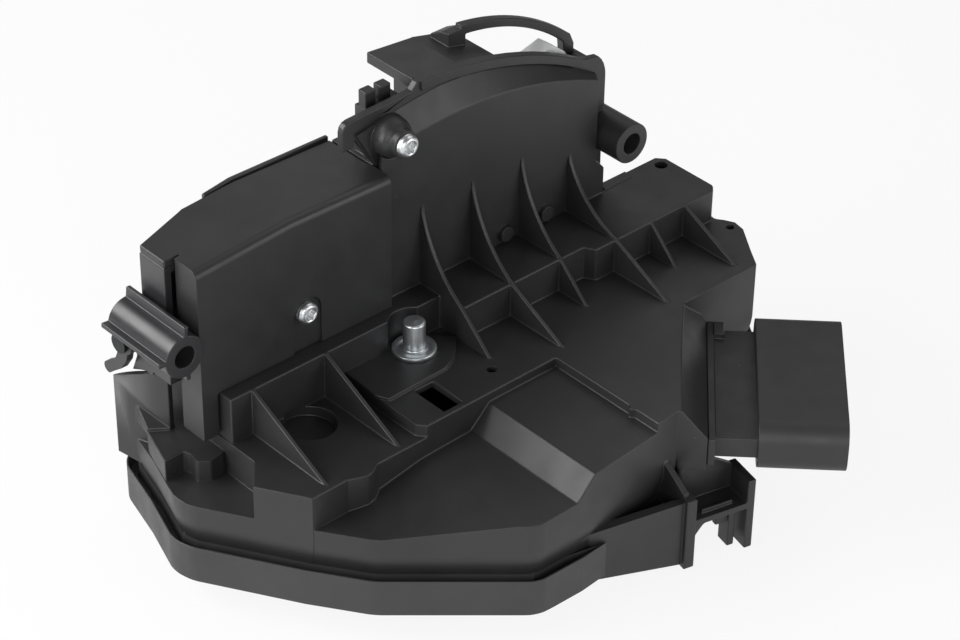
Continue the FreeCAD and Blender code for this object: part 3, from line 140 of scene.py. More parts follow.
# %% Light and floor
WORLD_LEVEL = 0.1
WHITE = (1.0, 1.0, 1.0, 1.0)
PAPER_TONE = (0.82, 0.82, 0.82, 1.0)
PAPER_TO_CAMERA, PAPER_TO_MIRRORS = 0.88, 0.6
PAPER_HALF_SIZE, PAPER_GAP = 3.0, 0.0002
LAMPS = {
    # name: (place mm, aim mm, width mm, height mm, power W)
    "back_left": ((-420, 420, 420), (0, 0, 0), 500, 400, 4.4),
    "front": ((-420, -620, 300), (10, 0, 0), 500, 400, 2.2),
    "front_right": ((300, -560, 160), (20, 0, 0), 400, 300, 1.1),
    "left_edge": ((-560, 60, 220), (-30, 10, 0), 240, 380, 1.8),
    "back_right": ((420, 460, 420), (10, 0, 0), 500, 400, 0.35),
    "over_right": ((420, -60, 620), (20, 0, 0), 500, 500, 0.8),
}


def add_node(tree, kind, settings=None, links=None):
    """Adds a node. settings are its properties and its sockets' values, links its inputs."""
    node = tree.nodes.new(kind)
    for key, value in (settings or {}).items():
        if isinstance(key, int) or key in node.inputs:
            node.inputs[key].default_value = value
        else:
            setattr(node, key, value)
    for key, socket in (links or {}).items():
        tree.links.new(socket, node.inputs[key])
    return node


def paper_white(tree):
    """How white the paper shows itself: nearly all to the camera, partly to mirrors."""
    path = add_node(tree, "ShaderNodeLightPath")
    mirrors = add_node(tree, "ShaderNodeMath", {"operation": "MAXIMUM"},
                       {0: path.outputs["Is Glossy Ray"], 1: path.outputs["Is Transmission Ray"]})
    mirrors = add_node(tree, "ShaderNodeMath", {"operation": "MULTIPLY", 1: PAPER_TO_MIRRORS},
                       {0: mirrors.outputs[0]})
    camera = add_node(tree, "ShaderNodeMath", {"operation": "MULTIPLY", 1: PAPER_TO_CAMERA},
                      {0: path.outputs["Is Camera Ray"]})
    return add_node(tree, "ShaderNodeMath", {"operation": "MAXIMUM"},
                    {0: mirrors.outputs[0], 1: camera.outputs[0]})


def make_world():
    """White behind the object for the camera, and a weak even light for everything else."""
    world = bpy.data.worlds.new("white_studio")
    bpy.context.scene.world = world
    world.use_nodes = True
    tree = world.node_tree
    tree.nodes.clear()
    seen = add_node(tree, "ShaderNodeLightPath")
    level = add_node(tree, "ShaderNodeMapRange", {"To Min": WORLD_LEVEL, "To Max": 1.0},
                     {"Value": seen.outputs["Is Camera Ray"]})
    back = add_node(tree, "ShaderNodeBackground", {"Color": WHITE},
                    {"Strength": level.outputs["Result"]})
    add_node(tree, "ShaderNodeOutputWorld", None, {"Surface": back.outputs[0]})


def make_floor():
    """A sheet of white paper just under the part."""
    size = PAPER_HALF_SIZE
    height = CAD_BOX[0].z - PAPER_GAP
    mesh = bpy.data.meshes.new("floor")
    corners = [(-size, -size), (size, -size), (size, size), (-size, size)]
    mesh.from_pydata([(x, y, height) for x, y in corners], [], [(0, 1, 2, 3)])
    floor = bpy.data.objects.new("floor", mesh)
    bpy.context.scene.collection.objects.link(floor)
    material = bpy.data.materials.new("white_paper")
    material.use_nodes = True
    tree = material.node_tree
    tree.nodes.clear()
    share = paper_white(tree)
    matte = add_node(tree, "ShaderNodeBsdfDiffuse", {"Color": PAPER_TONE})
    glow = add_node(tree, "ShaderNodeEmission", {"Color": WHITE, "Strength": 1.0})
    mixed = add_node(tree, "ShaderNodeMixShader", None,
                     {0: share.outputs[0], 1: matte.outputs[0], 2: glow.outputs[0]})
    add_node(tree, "ShaderNodeOutputMaterial", None, {"Surface": mixed.outputs[0]})
    mesh.materials.append(material)


def make_lamps():
    """Each soft lamp is a rectangle that looks at its aim."""
    for name, (place, aim, width, height, power) in LAMPS.items():
        data = bpy.data.lights.new(name, "AREA")
        data.shape = "RECTANGLE"
        data.size = width * MM
        data.size_y = height * MM
        data.energy = power
        lamp = bpy.data.objects.new(name, data)
        lamp.location = at(*place)
        lamp.rotation_euler = (at(*aim) - at(*place)).to_track_quat("-Z", "Y").to_euler()
        bpy.context.scene.collection.objects.link(lamp)


make_world()
make_floor()
make_lamps()
bpy.context.scene.view_settings.view_transform = "Standard"
print("lamps:", ", ".join(LAMPS))

# %% [markdown]
# The latch has two families of finish, moulded plastic and plated steel. Each could be one
# flat colour, but a flat colour looks like paint. So two functions build them from noise
# whose sizes are real ones, in millimetres: clouds in the tone, patches in the satin, and
# the grain that the tool left. Noise reads Object coordinates, so it stays on the piece when
# the piece moves.

# %% Material tools
CLOUD_MM, PATCH_MM = 26.0, 7.0
PLATING_CLOUD_MM = 3.0
PLASTIC_IOR = 1.53
GRAIN_STRENGTH = 0.8
STREAK_STRETCH = (1.0, 6.0, 1.0)
STREAK_DEPTH_MM, STREAK_STRENGTH = 0.004, 0.3
DUST_TONE, DUST_RARITY = "#7c7d7e", 0.83


def linear(hex_colour):
    """sRGB hex such as '#26272a' as the linear colour that shaders take."""
    values = [int(hex_colour[i:i + 2], 16) / 255 for i in (1, 3, 5)]
    line = [v / 12.92 if v <= 0.04045 else ((v + 0.055) / 1.055) ** 2.4 for v in values]
    return (*line, 1.0)


def new_material(name):
    """An empty material with its tree, its shader and the object's own coordinates."""
    material = bpy.data.materials.new(name)
    material.use_nodes = True
    tree = material.node_tree
    tree.nodes.clear()
    shader = add_node(tree, "ShaderNodeBsdfPrincipled")
    add_node(tree, "ShaderNodeOutputMaterial", None, {"Surface": shader.outputs[0]})
    place = add_node(tree, "ShaderNodeTexCoord").outputs["Object"]
    return material, tree, shader, place


def noise(tree, place, size_mm, detail=2.0, rough=0.5):
    """Noise whose largest clouds are about size_mm across."""
    return add_node(tree, "ShaderNodeTexNoise",
                    {"Scale": 1.0 / (size_mm * MM), "Detail": detail, "Roughness": rough},
                    {"Vector": place})


def spread(tree, socket, low, high):
    """Turns noise, which stays near a half, into the range low to high."""
    return add_node(tree, "ShaderNodeMapRange",
                    {"From Min": 0.3, "From Max": 0.7, "To Min": low, "To Max": high},
                    {"Value": socket}).outputs["Result"]


def two_tone(tree, factor, dark, light):
    """Mixes two hex colours by a factor."""
    return add_node(tree, "ShaderNodeMix",
                    {"data_type": "RGBA", "clamp_factor": True, 6: linear(dark), 7: linear(light)},
                    {0: factor}).outputs[2]


def bump(tree, height, depth_mm, strength):
    """Turns a height pattern into a slope of the surface."""
    return add_node(tree, "ShaderNodeBump", {"Distance": depth_mm * MM, "Strength": strength},
                    {"Height": height}).outputs["Normal"]


def dusted(tree, place, tone, size_mm=0.15, apart_mm=5.0):
    """A few pale specks of dust, one in every sixth cell of a loose pattern."""
    cells = add_node(tree, "ShaderNodeTexVoronoi", {"Scale": 1.0 / (apart_mm * MM)},
                     {"Vector": place})
    near = add_node(tree, "ShaderNodeMath", {"operation": "LESS_THAN", 1: size_mm / apart_mm},
                    {0: cells.outputs["Distance"]})
    chance = add_node(tree, "ShaderNodeSeparateColor", None, {0: cells.outputs["Color"]})
    picked = add_node(tree, "ShaderNodeMath", {"operation": "GREATER_THAN", 1: DUST_RARITY},
                      {0: chance.outputs[0]})
    speck = add_node(tree, "ShaderNodeMath", {"operation": "MULTIPLY"},
                     {0: near.outputs[0], 1: picked.outputs[0]})
    return add_node(tree, "ShaderNodeMix", {"data_type": "RGBA", 7: linear(DUST_TONE)},
                    {0: speck.outputs[0], 6: tone}).outputs[2]


def moulded_plastic(name, dark, light, rough, grain_mm, depth_mm):
    """Injection moulded plastic: cloudy tone, satin that varies, and the tool's fine grain."""
    material, tree, shader, place = new_material(name)
    clouds = noise(tree, place, CLOUD_MM, 3.0)
    patches = noise(tree, place, PATCH_MM, 3.0)
    grain = noise(tree, place, grain_mm, 2.0, 0.6)
    tone = two_tone(tree, spread(tree, clouds.outputs["Fac"], 0.0, 1.0), dark, light)
    tree.links.new(dusted(tree, place, tone), shader.inputs["Base Color"])
    satin = spread(tree, patches.outputs["Fac"], rough[0], rough[1])
    tree.links.new(satin, shader.inputs["Roughness"])
    slope = bump(tree, grain.outputs["Fac"], depth_mm, GRAIN_STRENGTH)
    tree.links.new(slope, shader.inputs["Normal"])
    shader.inputs["IOR"].default_value = PLASTIC_IOR
    return material


def plated_steel(name, dark, light, rough, streak_mm):
    """Zinc plated steel: bright, faintly cloudy, with fine marks of turning or rolling."""
    material, tree, shader, place = new_material(name)
    stretched = add_node(tree, "ShaderNodeMapping", {"Scale": STREAK_STRETCH},
                         {"Vector": place})
    clouds = noise(tree, place, PLATING_CLOUD_MM, 3.0)
    streaks = noise(tree, stretched.outputs[0], streak_mm, 2.0, 0.6)
    tone = two_tone(tree, spread(tree, clouds.outputs["Fac"], 0.0, 1.0), dark, light)
    tree.links.new(tone, shader.inputs["Base Color"])
    satin = spread(tree, streaks.outputs["Fac"], rough[0], rough[1])
    tree.links.new(satin, shader.inputs["Roughness"])
    slope = bump(tree, streaks.outputs["Fac"], STREAK_DEPTH_MM, STREAK_STRENGTH)
    tree.links.new(slope, shader.inputs["Normal"])
    shader.inputs["Metallic"].default_value = 1.0
    return material


print("plastic clouds", CLOUD_MM, "mm, plating clouds", PLATING_CLOUD_MM, "mm")

# %% [markdown]
# The body is nylon filled with short glass fibres, moulded in a spark-eroded tool: near
# black, satin, with a fine grain and faint clouds where the melt flowed. The plug is a
# duller polyester. Metal parts are zinc plated steel, bright where they were turned and
# greyer where they were pressed. One call makes each finish, from its two colours and its
# range of roughness.

# %% Materials of the latch
# Glass filled nylon: near black, and satin, so that upper faces turn grey under the lamps.
black_nylon = moulded_plastic("black_glass_filled_nylon", "#232324", "#2a2a2b", (0.39, 0.48),
                              0.35, 0.025)
# The same nylon from a rougher tool, so more matte, and painted a shade paler: painted light that
# stands in for the light falling on the cover's edge.
cover_nylon_painted_light = moulded_plastic("black_nylon_base_cover_painted_light", "#303030", "#383838", (0.42, 0.55),
                              0.4, 0.025)
# Nylon from a smoother tool: it mirrors the lamps a little more.
shell_nylon = moulded_plastic("smooth_black_nylon_shell", "#262628", "#2c2c2e", (0.28, 0.36),
                              0.5, 0.012)
# Polyester: matte, with clouds that hardly show.
plug_polyester = moulded_plastic("black_polyester_plug", "#272728", "#2d2d2e", (0.42, 0.55),
                                 0.5, 0.02)
# Acetal and silicone: waxy inner pieces, grey, milky white and dull.
grey_acetal = moulded_plastic("grey_acetal", "#5c5e61", "#6a6c6f", (0.35, 0.5), 0.5, 0.015)
white_acetal = moulded_plastic("natural_acetal", "#d8d6cf", "#e6e4dd", (0.32, 0.45), 0.5, 0.01)
seal_rubber = moulded_plastic("silicone_seal", "#3a3b3d", "#47484b", (0.55, 0.7), 0.6, 0.02)
# Zinc plating: a soft bright metal, finest on the screws and dullest on the claw, whose colour is
# painted paler than zinc: a painted reflection of the bright surroundings it mirrors.
bright_zinc = plated_steel("bright_zinc_plated_steel", "#d2d5d7", "#e6e8e9", (0.32, 0.4), 1.5)
turned_zinc = plated_steel("turned_zinc_plated_steel", "#c9ced1", "#dde1e3", (0.33, 0.42), 1.2)
claw_zinc_painted_reflection = plated_steel("zinc_on_claw_painted_reflection", "#eff0f1", "#f8f9f9", (0.55, 0.65), 2.0)
# Other metals: oiled black pin, greyer pressed plate, drawn wire and yellowish tin.
black_steel = plated_steel("black_oxide_steel", "#2b2c2d", "#3a3b3c", (0.38, 0.5), 0.8)
pressed_zinc = plated_steel("pressed_zinc_plated_steel", "#a5a7a9", "#b0b2b4", (0.3, 0.4), 2.5)
spring_steel = plated_steel("drawn_spring_wire", "#7d7f82", "#9a9c9f", (0.25, 0.4), 0.4)
tin_plate = plated_steel("tin_plated_bronze", "#c3c2ba", "#dcdbd3", (0.2, 0.3), 0.5)
SLOT_MATERIALS = {
    "black_moulding": black_nylon, "grey_moulding": grey_acetal, "zinc_steel": bright_zinc,
    "plate_steel": pressed_zinc, "spring_wire": spring_steel, "tin_contact": tin_plate,
    "seal_rubber": seal_rubber, "gear_acetal": white_acetal,
}
SLOT_OF = {row["node"]: row["material_slot"] for row in frame["record"]["subparts"]}


def paint(thing, material):
    """Gives an object one material."""
    thing.data.materials.clear()
    thing.data.materials.append(material)


for name, thing in NODES.items():
    paint(thing, SLOT_MATERIALS[SLOT_OF[name]])
# The claw's near white zinc is painted reflection.
paint(NODES["claw"], claw_zinc_painted_reflection)
paint(NODES["rod_lever_pin"], black_steel)
print("painted", len(NODES), "parts with", len(SLOT_MATERIALS), "materials")

# %% [markdown]
# A moulded edge is never sharp: the tool's cutter leaves a radius of a few tenths of a
# millimetre, and that radius is what catches the light on a black part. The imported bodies
# have sharp edges, so each one is copied, its triangles are joined into whole faces, and a
# Bevel modifier rounds every edge. Where neighbouring edges are very short, the edge gets
# a smaller share of the radius, so that rounds never run into each other.

# %% Copies whose edges can be rounded
SHARP_ANGLE = math.radians(24)
SOFT_ANGLE = math.radians(6)
FLAT_ANGLE = math.radians(0.6)
WIDE_MM = 2.5
MERGE_MM = 0.004
ROOM_SHARE = 0.4  # the part of the room beside an edge that its round may take


def merged_copy(node_name):
    """The node's triangles, merged and joined into flat faces, as a new mesh."""
    mesh = NODES[node_name].data.copy()
    shape = bmesh.new()
    shape.from_mesh(mesh)
    bmesh.ops.remove_doubles(shape, verts=shape.verts, dist=MERGE_MM * MM)
    bmesh.ops.dissolve_limit(shape, angle_limit=FLAT_ANGLE, verts=shape.verts,
                             edges=shape.edges, delimit=set())
    return mesh, shape


def is_wide(face):
    """True for a broad face, and false for one of the narrow strips of a round."""
    longest = max(edge.calc_length() for edge in face.edges)
    return face.calc_area() / longest > WIDE_MM * MM


def narrowest(shape):
    """For each edge, the smallest distance across the faces beside it."""
    room = {edge: min(other.calc_length() for end in edge.verts for other in end.link_edges)
            for edge in shape.edges}
    for face in shape.faces:
        for vert in face.verts:
            beside = [edge for edge in vert.link_edges if edge in face.edges]
            for edge in face.edges:
                if vert in edge.verts:
                    continue
                low, high = edge.verts
                nearest, share = intersect_point_line(vert.co, low.co, high.co)
                if 0 <= share <= 1:
                    gap = (vert.co - nearest).length
                    for one in beside + [edge]:
                        room[one] = min(room[one], gap)
    return room


def weigh_edges(shape, radius_mm):
    """Gives each sharp edge a bevel weight, smaller where the faces beside it are narrow."""
    layer = shape.edges.layers.float.new("bevel_weight_edge")
    room = narrowest(shape)
    for edge in shape.edges:
        if not edge.is_manifold:
            continue
        broad = all(is_wide(face) for face in edge.link_faces)
        if edge.calc_face_angle(0.0) < (SOFT_ANGLE if broad else SHARP_ANGLE):
            continue
        edge[layer] = min(1.0, ROOM_SHARE * room[edge] / (radius_mm * MM))


print("edges are rounded where they turn by more than", round(math.degrees(SOFT_ANGLE)),
      "degrees between wide faces")

# %% [markdown]
# The base is two mouldings, a housing and a shallow cover under it, that meet at one level
# joint. Seen from above, its corners are much rounder than its other edges. The base could
# be drawn anew with them, but its ribs and pockets would have to be drawn again too. So the
# upright edges at each corner are picked out of the copy and bevelled by themselves. Where
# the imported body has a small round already, its strips are first drawn together into the
# sharp corner of the two walls.

# %% Large corners of the base
UPRIGHT, LEVEL = 0.1, 0.99  # how far a normal may look up on a wall, and has to on a deck
CORNER_REACH_MM = 2.8
CORNER_STEPS = 7
CORNERS = [
    # (x, y, radius) in millimetres
    (-77.4, 7.6, 10), (-76.0, 2.0, 10), (-49.0, -40.5, 16), (-17.0, -68.6, 8),
    (36.2, -66.2, 6), (-62.0, 46.0, 8), (-67.5, 41.5, 8), (-24.0, 46.0, 8),
]


def plan(point):
    """The point or direction as seen from above."""
    return Vector((point.x, point.y, 0))


def corner_edges(shape, x, y):
    """The outer upright edges that stand at one corner of the plan."""
    corner = Vector((x * MM, y * MM, 0))
    return [edge for edge in shape.edges if edge.is_manifold and edge.is_convex
            and all((plan(vert.co) - corner).length < CORNER_REACH_MM * MM
                    for vert in edge.verts)
            and abs((edge.verts[1].co - edge.verts[0].co).normalized().z) > LEVEL]


def sharpen(shape, x, y):
    """Draws the strips of a small round together into the sharp corner of its two walls."""
    edges = corner_edges(shape, x, y)
    walls = {face for edge in edges for face in edge.link_faces if is_wide(face)}
    if len(edges) < 3 or len(walls) != 2:
        return
    first, second = [(plan(face.normal), plan(face.verts[0].co)) for face in walls]
    along = Vector((-first[0].y, first[0].x, 0))
    step = second[0].dot(second[1] - first[1]) / second[0].dot(along)
    tip = first[1] + along * step
    levels = {}
    for vert in {vert for edge in edges for vert in edge.verts}:
        levels.setdefault(round(vert.co.z / MM, 2), []).append(vert)
    for verts in levels.values():
        bmesh.ops.pointmerge(shape, verts=verts, merge_co=tip + Vector((0, 0, verts[0].co.z)))


def round_corners(shape):
    """Rounds the upright edges of each corner, all found before the first one is cut."""
    for x, y, radius in CORNERS:
        sharpen(shape, x, y)
    found = [(corner_edges(shape, x, y), radius) for x, y, radius in CORNERS]
    for edges, radius_mm in found:
        if edges:
            turn = max(edge.calc_face_angle(0.0) for edge in edges)
            bmesh.ops.bevel(shape, geom=edges, offset=radius_mm * MM * math.tan(turn / 2),
                            offset_type="OFFSET", segments=CORNER_STEPS, profile=0.5,
                            affect="EDGES", clamp_overlap=False)
    return [len(edges) for edges, radius in found]


print("corners to round:", len(CORNERS))

# %% [markdown]
# The housing's wall stands back a little at its foot, so that the cover's edge is free of it
# all round and a line of shadow runs along the joint. The foot could be a loft, but the wall
# has its steps and corners already. So its outer faces are cut at a few heights and the
# points of each height are pushed inwards, most at the joint. A point where two walls meet
# so sharply that the push would fold them stays where it is.

# %% Leaning foot of the wall
JOINT_HEIGHT = at(0, 0, -28.5).z
PLAN_MIDDLE = at(18, -10, 0)
LEVEL_SLACK_MM, WALL_SLACK_MM, CUT_SLACK_MM = 0.05, 0.1, 0.02
FOLD_LIMIT = 0.6  # least cosine between a wall and the push of its point
FOOT_ROLL = [
    # (height above the joint, push inwards) in millimetres
    (0.0, 1.85), (1.0, 1.7), (2.2, 1.38), (3.6, 0.95), (5.2, 0.52), (7.0, 0.2), (9.2, 0.0),
]


def outer_wall(shape, foot_z):
    """The upright faces on the outside of the plan whose foot is at one height."""
    found = []
    for face in shape.faces:
        low = min(vert.co.z for vert in face.verts)
        out = face.normal.dot(plan(face.calc_center_median()) - plan(PLAN_MIDDLE))
        if (abs(face.normal.z) < UPRIGHT and abs(low - foot_z) < WALL_SLACK_MM * MM
                and out > 0):
            found.append(face)
    return found


def foot_push(height_mm):
    """How far the wall is pushed in at a height above the joint, in millimetres."""
    push = 0.0
    for (low, more), (high, less) in zip(FOOT_ROLL, FOOT_ROLL[1:]):
        if low - CUT_SLACK_MM <= height_mm <= high:
            push = more + (less - more) * (height_mm - low) / (high - low)
    return push


def roll_foot(shape, foot_z):
    """Leans the foot of the outer wall inwards, a little more towards the joint."""
    wall = outer_wall(shape, foot_z)
    for height in [height for height, push in FOOT_ROLL[1:]]:
        around = {item for face in wall for item in (face, *face.edges, *face.verts)}
        cut = bmesh.ops.bisect_plane(shape, geom=list(around), dist=0.01 * MM,
                                     plane_co=(0, 0, foot_z + height * MM),
                                     plane_no=(0, 0, 1))
        wall = [item for item in cut["geom"] if isinstance(item, bmesh.types.BMFace)]
    shape.normal_update()
    moves = {}
    for face in wall:
        for vert in face.verts:
            moves.setdefault(vert, []).append(plan(face.normal).normalized())
    for vert, normals in moves.items():
        push = foot_push((vert.co.z - foot_z) / MM)
        middle = sum(normals, Vector()).normalized()
        if min(middle.dot(normal) for normal in normals) > FOLD_LIMIT:
            vert.co -= middle * (push * MM / middle.dot(normals[0]))
    return len(moves)


print("the wall's foot leans in by", FOOT_ROLL[0][1], "mm over", FOOT_ROLL[-1][0], "mm")

# %% [markdown]
# Along the top of the cover's edge runs a channel, open between a thin outer rim and the
# foot of the housing, and deep enough to look dark. A sweep along the edge or a Boolean
# would do, but the edge has many short steps. So the flat top face is inset twice, each new
# point is placed by the walls that meet at the old one, and the inner ring is let down.

# %% Channel in the cover's edge
CHANNEL_INSETS_MM = ((0.55, 0.1), (0.8, 0.3))  # (outer side, inner side) of the two insets
CHANNEL_DEPTH_MM = 5.0
INSET_START_MM = 0.1
LEAST_TURN = 0.4  # a corner lengthens its push by 1 / LEAST_TURN at most
SHARP_REACH, SHARP_PUSH = 1.5, 0.1  # longer pushes would fold, so they shrink to a tenth


def level_faces(shape, height, way):
    """The level faces at one height that look up (way 1) or down (way -1)."""
    return [face for face in shape.faces if face.normal.z * way > LEVEL
            and abs(face.calc_center_median().z - height) < LEVEL_SLACK_MM * MM]


def wall_push(vert):
    """The direction out of the upright walls that meet at a point, scaled for its corner."""
    normals = [plan(face.normal).normalized() for face in vert.link_faces
               if abs(face.normal.z) < UPRIGHT]
    out = sum(normals, Vector()).normalized()
    if not normals:
        return out
    return out / max(LEAST_TURN, min(out.dot(normal) for normal in normals))


def split_flat(shape, faces):
    """Splits long hollow faces into triangles, and prints whether their area stayed."""
    before = sum(face.calc_area() for face in faces)
    done = bmesh.ops.triangulate(shape, faces=faces, quad_method="BEAUTY", ngon_method="BEAUTY")
    after = sum(face.calc_area() for face in done["faces"])
    print("split", len(done["faces"]), "triangles, area", round(after / before, 4))


def spot(point):
    """Where a point stands in the plan, as a key for looking it up."""
    return round(point.x / MM, 2), round(point.y / MM, 2)


def sink_channel(shape, joint_z):
    """Sinks a channel into the top face of the cover's edge, between two thin rims."""
    ring = level_faces(shape, joint_z, 1)
    edge_points = {spot(vert.co): (vert.co.copy(), wall_push(vert))
                   for face in ring for vert in face.verts}
    moved = []
    for outer_mm, inner_mm in CHANNEL_INSETS_MM:
        bmesh.ops.inset_region(shape, faces=ring, thickness=INSET_START_MM * MM,
                               use_even_offset=False, use_boundary=True)
        inner = {vert for face in ring for vert in face.verts}
        moved.append(len(inner))
        inset_points = {}
        for vert in inner:
            outer = next(edge.other_vert(vert) for edge in vert.link_edges
                         if edge.other_vert(vert) not in inner)
            point, out = edge_points[spot(outer.co)]
            outside = out.dot(plan(point) - plan(PLAN_MIDDLE)) > 0
            out = out * SHARP_PUSH if out.length > SHARP_REACH else out
            vert.co = point - out * ((outer_mm if outside else inner_mm) * MM)
            inset_points[spot(vert.co)] = (point, out)
        edge_points = inset_points
    split_flat(shape, ring)
    bmesh.ops.translate(shape, verts=list(inner), vec=(0, 0, -CHANNEL_DEPTH_MM * MM))
    return moved


print("the channel is", CHANNEL_DEPTH_MM, "mm deep")

# %% [markdown]
# The round recess in the bay of the deck has a floor that slopes, so that one side of it is a
# thin crescent of wall and the other a deep one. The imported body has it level. Its floor is
# one flat face with a ring of points, so it is enough to raise or lower each of them by its
# place across the recess.

# %% Tilted recess
DISH = {"centre": (-38.4, -1.6), "radius": 7.4, "floor_z": -5.6, "rise": 0.7, "deep": 2.6,
        "way": (0.93, 0.37)}


def tilt_dish(shape):
    """Tilts the recess's floor, so that it starts shallow and ends deep."""
    middle = at(*DISH["centre"], DISH["floor_z"])
    way = Vector((*DISH["way"], 0))
    floor = [vert for vert in shape.verts if abs(vert.co.z - middle.z) < LEVEL_SLACK_MM * MM
             and (vert.co - middle).length < (DISH["radius"] + WALL_SLACK_MM) * MM]
    for vert in floor:
        share = 0.5 + 0.5 * way.dot(vert.co - middle) / (DISH["radius"] * MM)
        vert.co.z += (DISH["rise"] - (DISH["rise"] + DISH["deep"]) * share) * MM
    return len(floor)


print("the recess is", 2 * DISH["radius"], "mm across")

# %% [markdown]
# Now each moulding gets its copy. The bevel is a modifier, so its radius can still be changed
# afterwards, and a Weighted Normal modifier keeps the broad faces looking flat beside the
# small rounds. The copy takes the place of the imported body, rides on the same body of the
# mechanism and is painted with its own plastic.

# %% Mouldings with round edges
EDGE_SEGMENTS = 3


def shape_base(node_name, shape):
    """Extra forms of the two base mouldings that meet at the joint."""
    rounded = round_corners(shape)
    if node_name == "main_housing":
        split_flat(shape, level_faces(shape, JOINT_HEIGHT, -1))
        print("foot of the wall:", roll_foot(shape, JOINT_HEIGHT), "points moved,",
              tilt_dish(shape), "in the tilted recess")
    else:
        print("channel:", sink_channel(shape, JOINT_HEIGHT), "points moved")
    reach = max(plan(vert.co).length for vert in shape.verts) / MM
    print(node_name, "edges rounded at each corner", rounded, "reach", round(reach, 1), "mm")


def moulded_skin(node_name, radius_mm, material, body):
    """The moulding's copy with round edges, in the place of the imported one."""
    mesh, shape = merged_copy(node_name)
    if node_name in ("main_housing", "base_cover"):
        shape_base(node_name, shape)
    weigh_edges(shape, radius_mm)
    for face in shape.faces:
        face.smooth = True
    shape.to_mesh(mesh)
    shape.free()
    skin = bpy.data.objects.new(node_name + "_skin", mesh)
    bpy.context.scene.collection.objects.link(skin)
    paint(skin, material)
    rounder = skin.modifiers.new("moulded edge", "BEVEL")
    rounder.limit_method = "WEIGHT"
    rounder.width = radius_mm * MM
    rounder.segments = EDGE_SEGMENTS
    rounder.use_clamp_overlap = False
    rounder.miter_outer = "MITER_ARC"
    shade = skin.modifiers.new("flat faces stay flat", "WEIGHTED_NORMAL")
    shade.mode = "FACE_AREA"
    shade.weight = 50
    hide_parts(node_name)
    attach(skin, body)
    return skin


EDGE_RADIUS_MM = {"main_housing": 0.45, "base_cover": 0.6, "latch_housing": 0.35,
                  "box_cover": 0.55, "lever_housing": 0.35, "connector": 0.4}
# The base cover's paler colour is painted light on its edge.
OWN_PLASTIC = {"connector": plug_polyester, "base_cover": cover_nylon_painted_light,
               "lever_housing": shell_nylon}
for name, radius in EDGE_RADIUS_MM.items():
    skin = moulded_skin(name, radius, OWN_PLASTIC.get(name, black_nylon), "housing")
    print(skin.name, len(skin.data.polygons), "faces before rounding")

# %% [markdown]
# The screws and the stud were turned on a lathe, so they are drawn the same way: a list of
# rings along the axis, each with its radius, its height and, for the socket of a screw, the
# depth of the six lobes. One function joins neighbouring rings with faces.

# %% Turned metal parts
LATHE_SIDES = 96
SOCKET_LOBES = 6
HEAD_FACES = {
    # node: where the middle of the head's face is (x, y, z), in millimetres
    "box_screw": (-29.6, 7.9, 21.3), "wall_screw": (4.6, 6.4, 60.3),
}
THREAD_START, THREAD_PITCH_MM, THREAD_COUNT = -12.0, 0.48, 20
THREAD_ROOT_R, THREAD_CREST_R = 1.22, 1.5


def turned(name, rings, place):
    """Closed turned body from (radius, height, lobe depth) rings, placed by a function."""
    shape = bmesh.new()
    rows = []
    for radius, height, lobe in rings:
        row = []
        for i in range(LATHE_SIDES if radius > 0 else 1):
            angle = 2 * math.pi * i / LATHE_SIDES
            reach = radius - lobe * (0.5 - 0.5 * math.cos(SOCKET_LOBES * angle))
            row.append(shape.verts.new(place(reach * math.cos(angle), reach * math.sin(angle),
                                             height)))
        rows.append(row)
    for low, high in zip(rows, rows[1:]):
        for i in range(LATHE_SIDES):
            j = i + 1
            corners = [low[i % len(low)], low[j % len(low)], high[j % len(high)],
                       high[i % len(high)]]
            shape.faces.new(dict.fromkeys(corners)).smooth = True
    mesh = bpy.data.meshes.new(name)
    shape.to_mesh(mesh)
    shape.free()
    thing = bpy.data.objects.new(name, mesh)
    bpy.context.scene.collection.objects.link(thing)
    return thing


def hand_over(thing, node_name, body, material):
    """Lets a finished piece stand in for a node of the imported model."""
    paint(thing, material)
    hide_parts(node_name)
    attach(thing, body)


def screw_rings():
    """Point, thread, pan head and lobed socket, with height 0 at the face of the head."""
    thread = []
    for i in range(THREAD_COUNT):
        z = THREAD_START + THREAD_PITCH_MM * i
        thread += [(THREAD_ROOT_R, z, 0), (THREAD_CREST_R, z + 0.2, 0),
                   (THREAD_CREST_R, z + 0.26, 0)]
    head = [(THREAD_CREST_R, -2.2, 0), (3.3, -2.2, 0), (3.4, -2.1, 0), (3.4, -1.75, 0),
            (3.28, -1.62, 0), (3.26, -1.45, 0), (3.32, -1.3, 0), (3.26, -0.95, 0),
            (3.02, -0.5, 0), (2.66, -0.17, 0), (2.3, -0.03, 0), (2.12, 0, 0), (2.02, -0.04, 0),
            (1.96, -0.14, 0.2), (1.92, -0.28, 0.46), (1.88, -1.75, 0.46), (1.7, -1.86, 0.42),
            (0.9, -1.9, 0.1), (0, -1.95, 0)]
    return [(0, -13.0, 0), (0.5, -12.95, 0)] + thread + head


def make_screws():
    """Both screws look towards the front, so their axis lies along -Y."""
    for name, (x, face_y, z) in HEAD_FACES.items():
        thing = turned(name + "_turned", screw_rings(),
                       lambda u, v, h: at(x + u, face_y - h, z + v))
        hand_over(thing, name, "housing", bright_zinc)
        print(thing.name, len(thing.data.polygons), "faces")


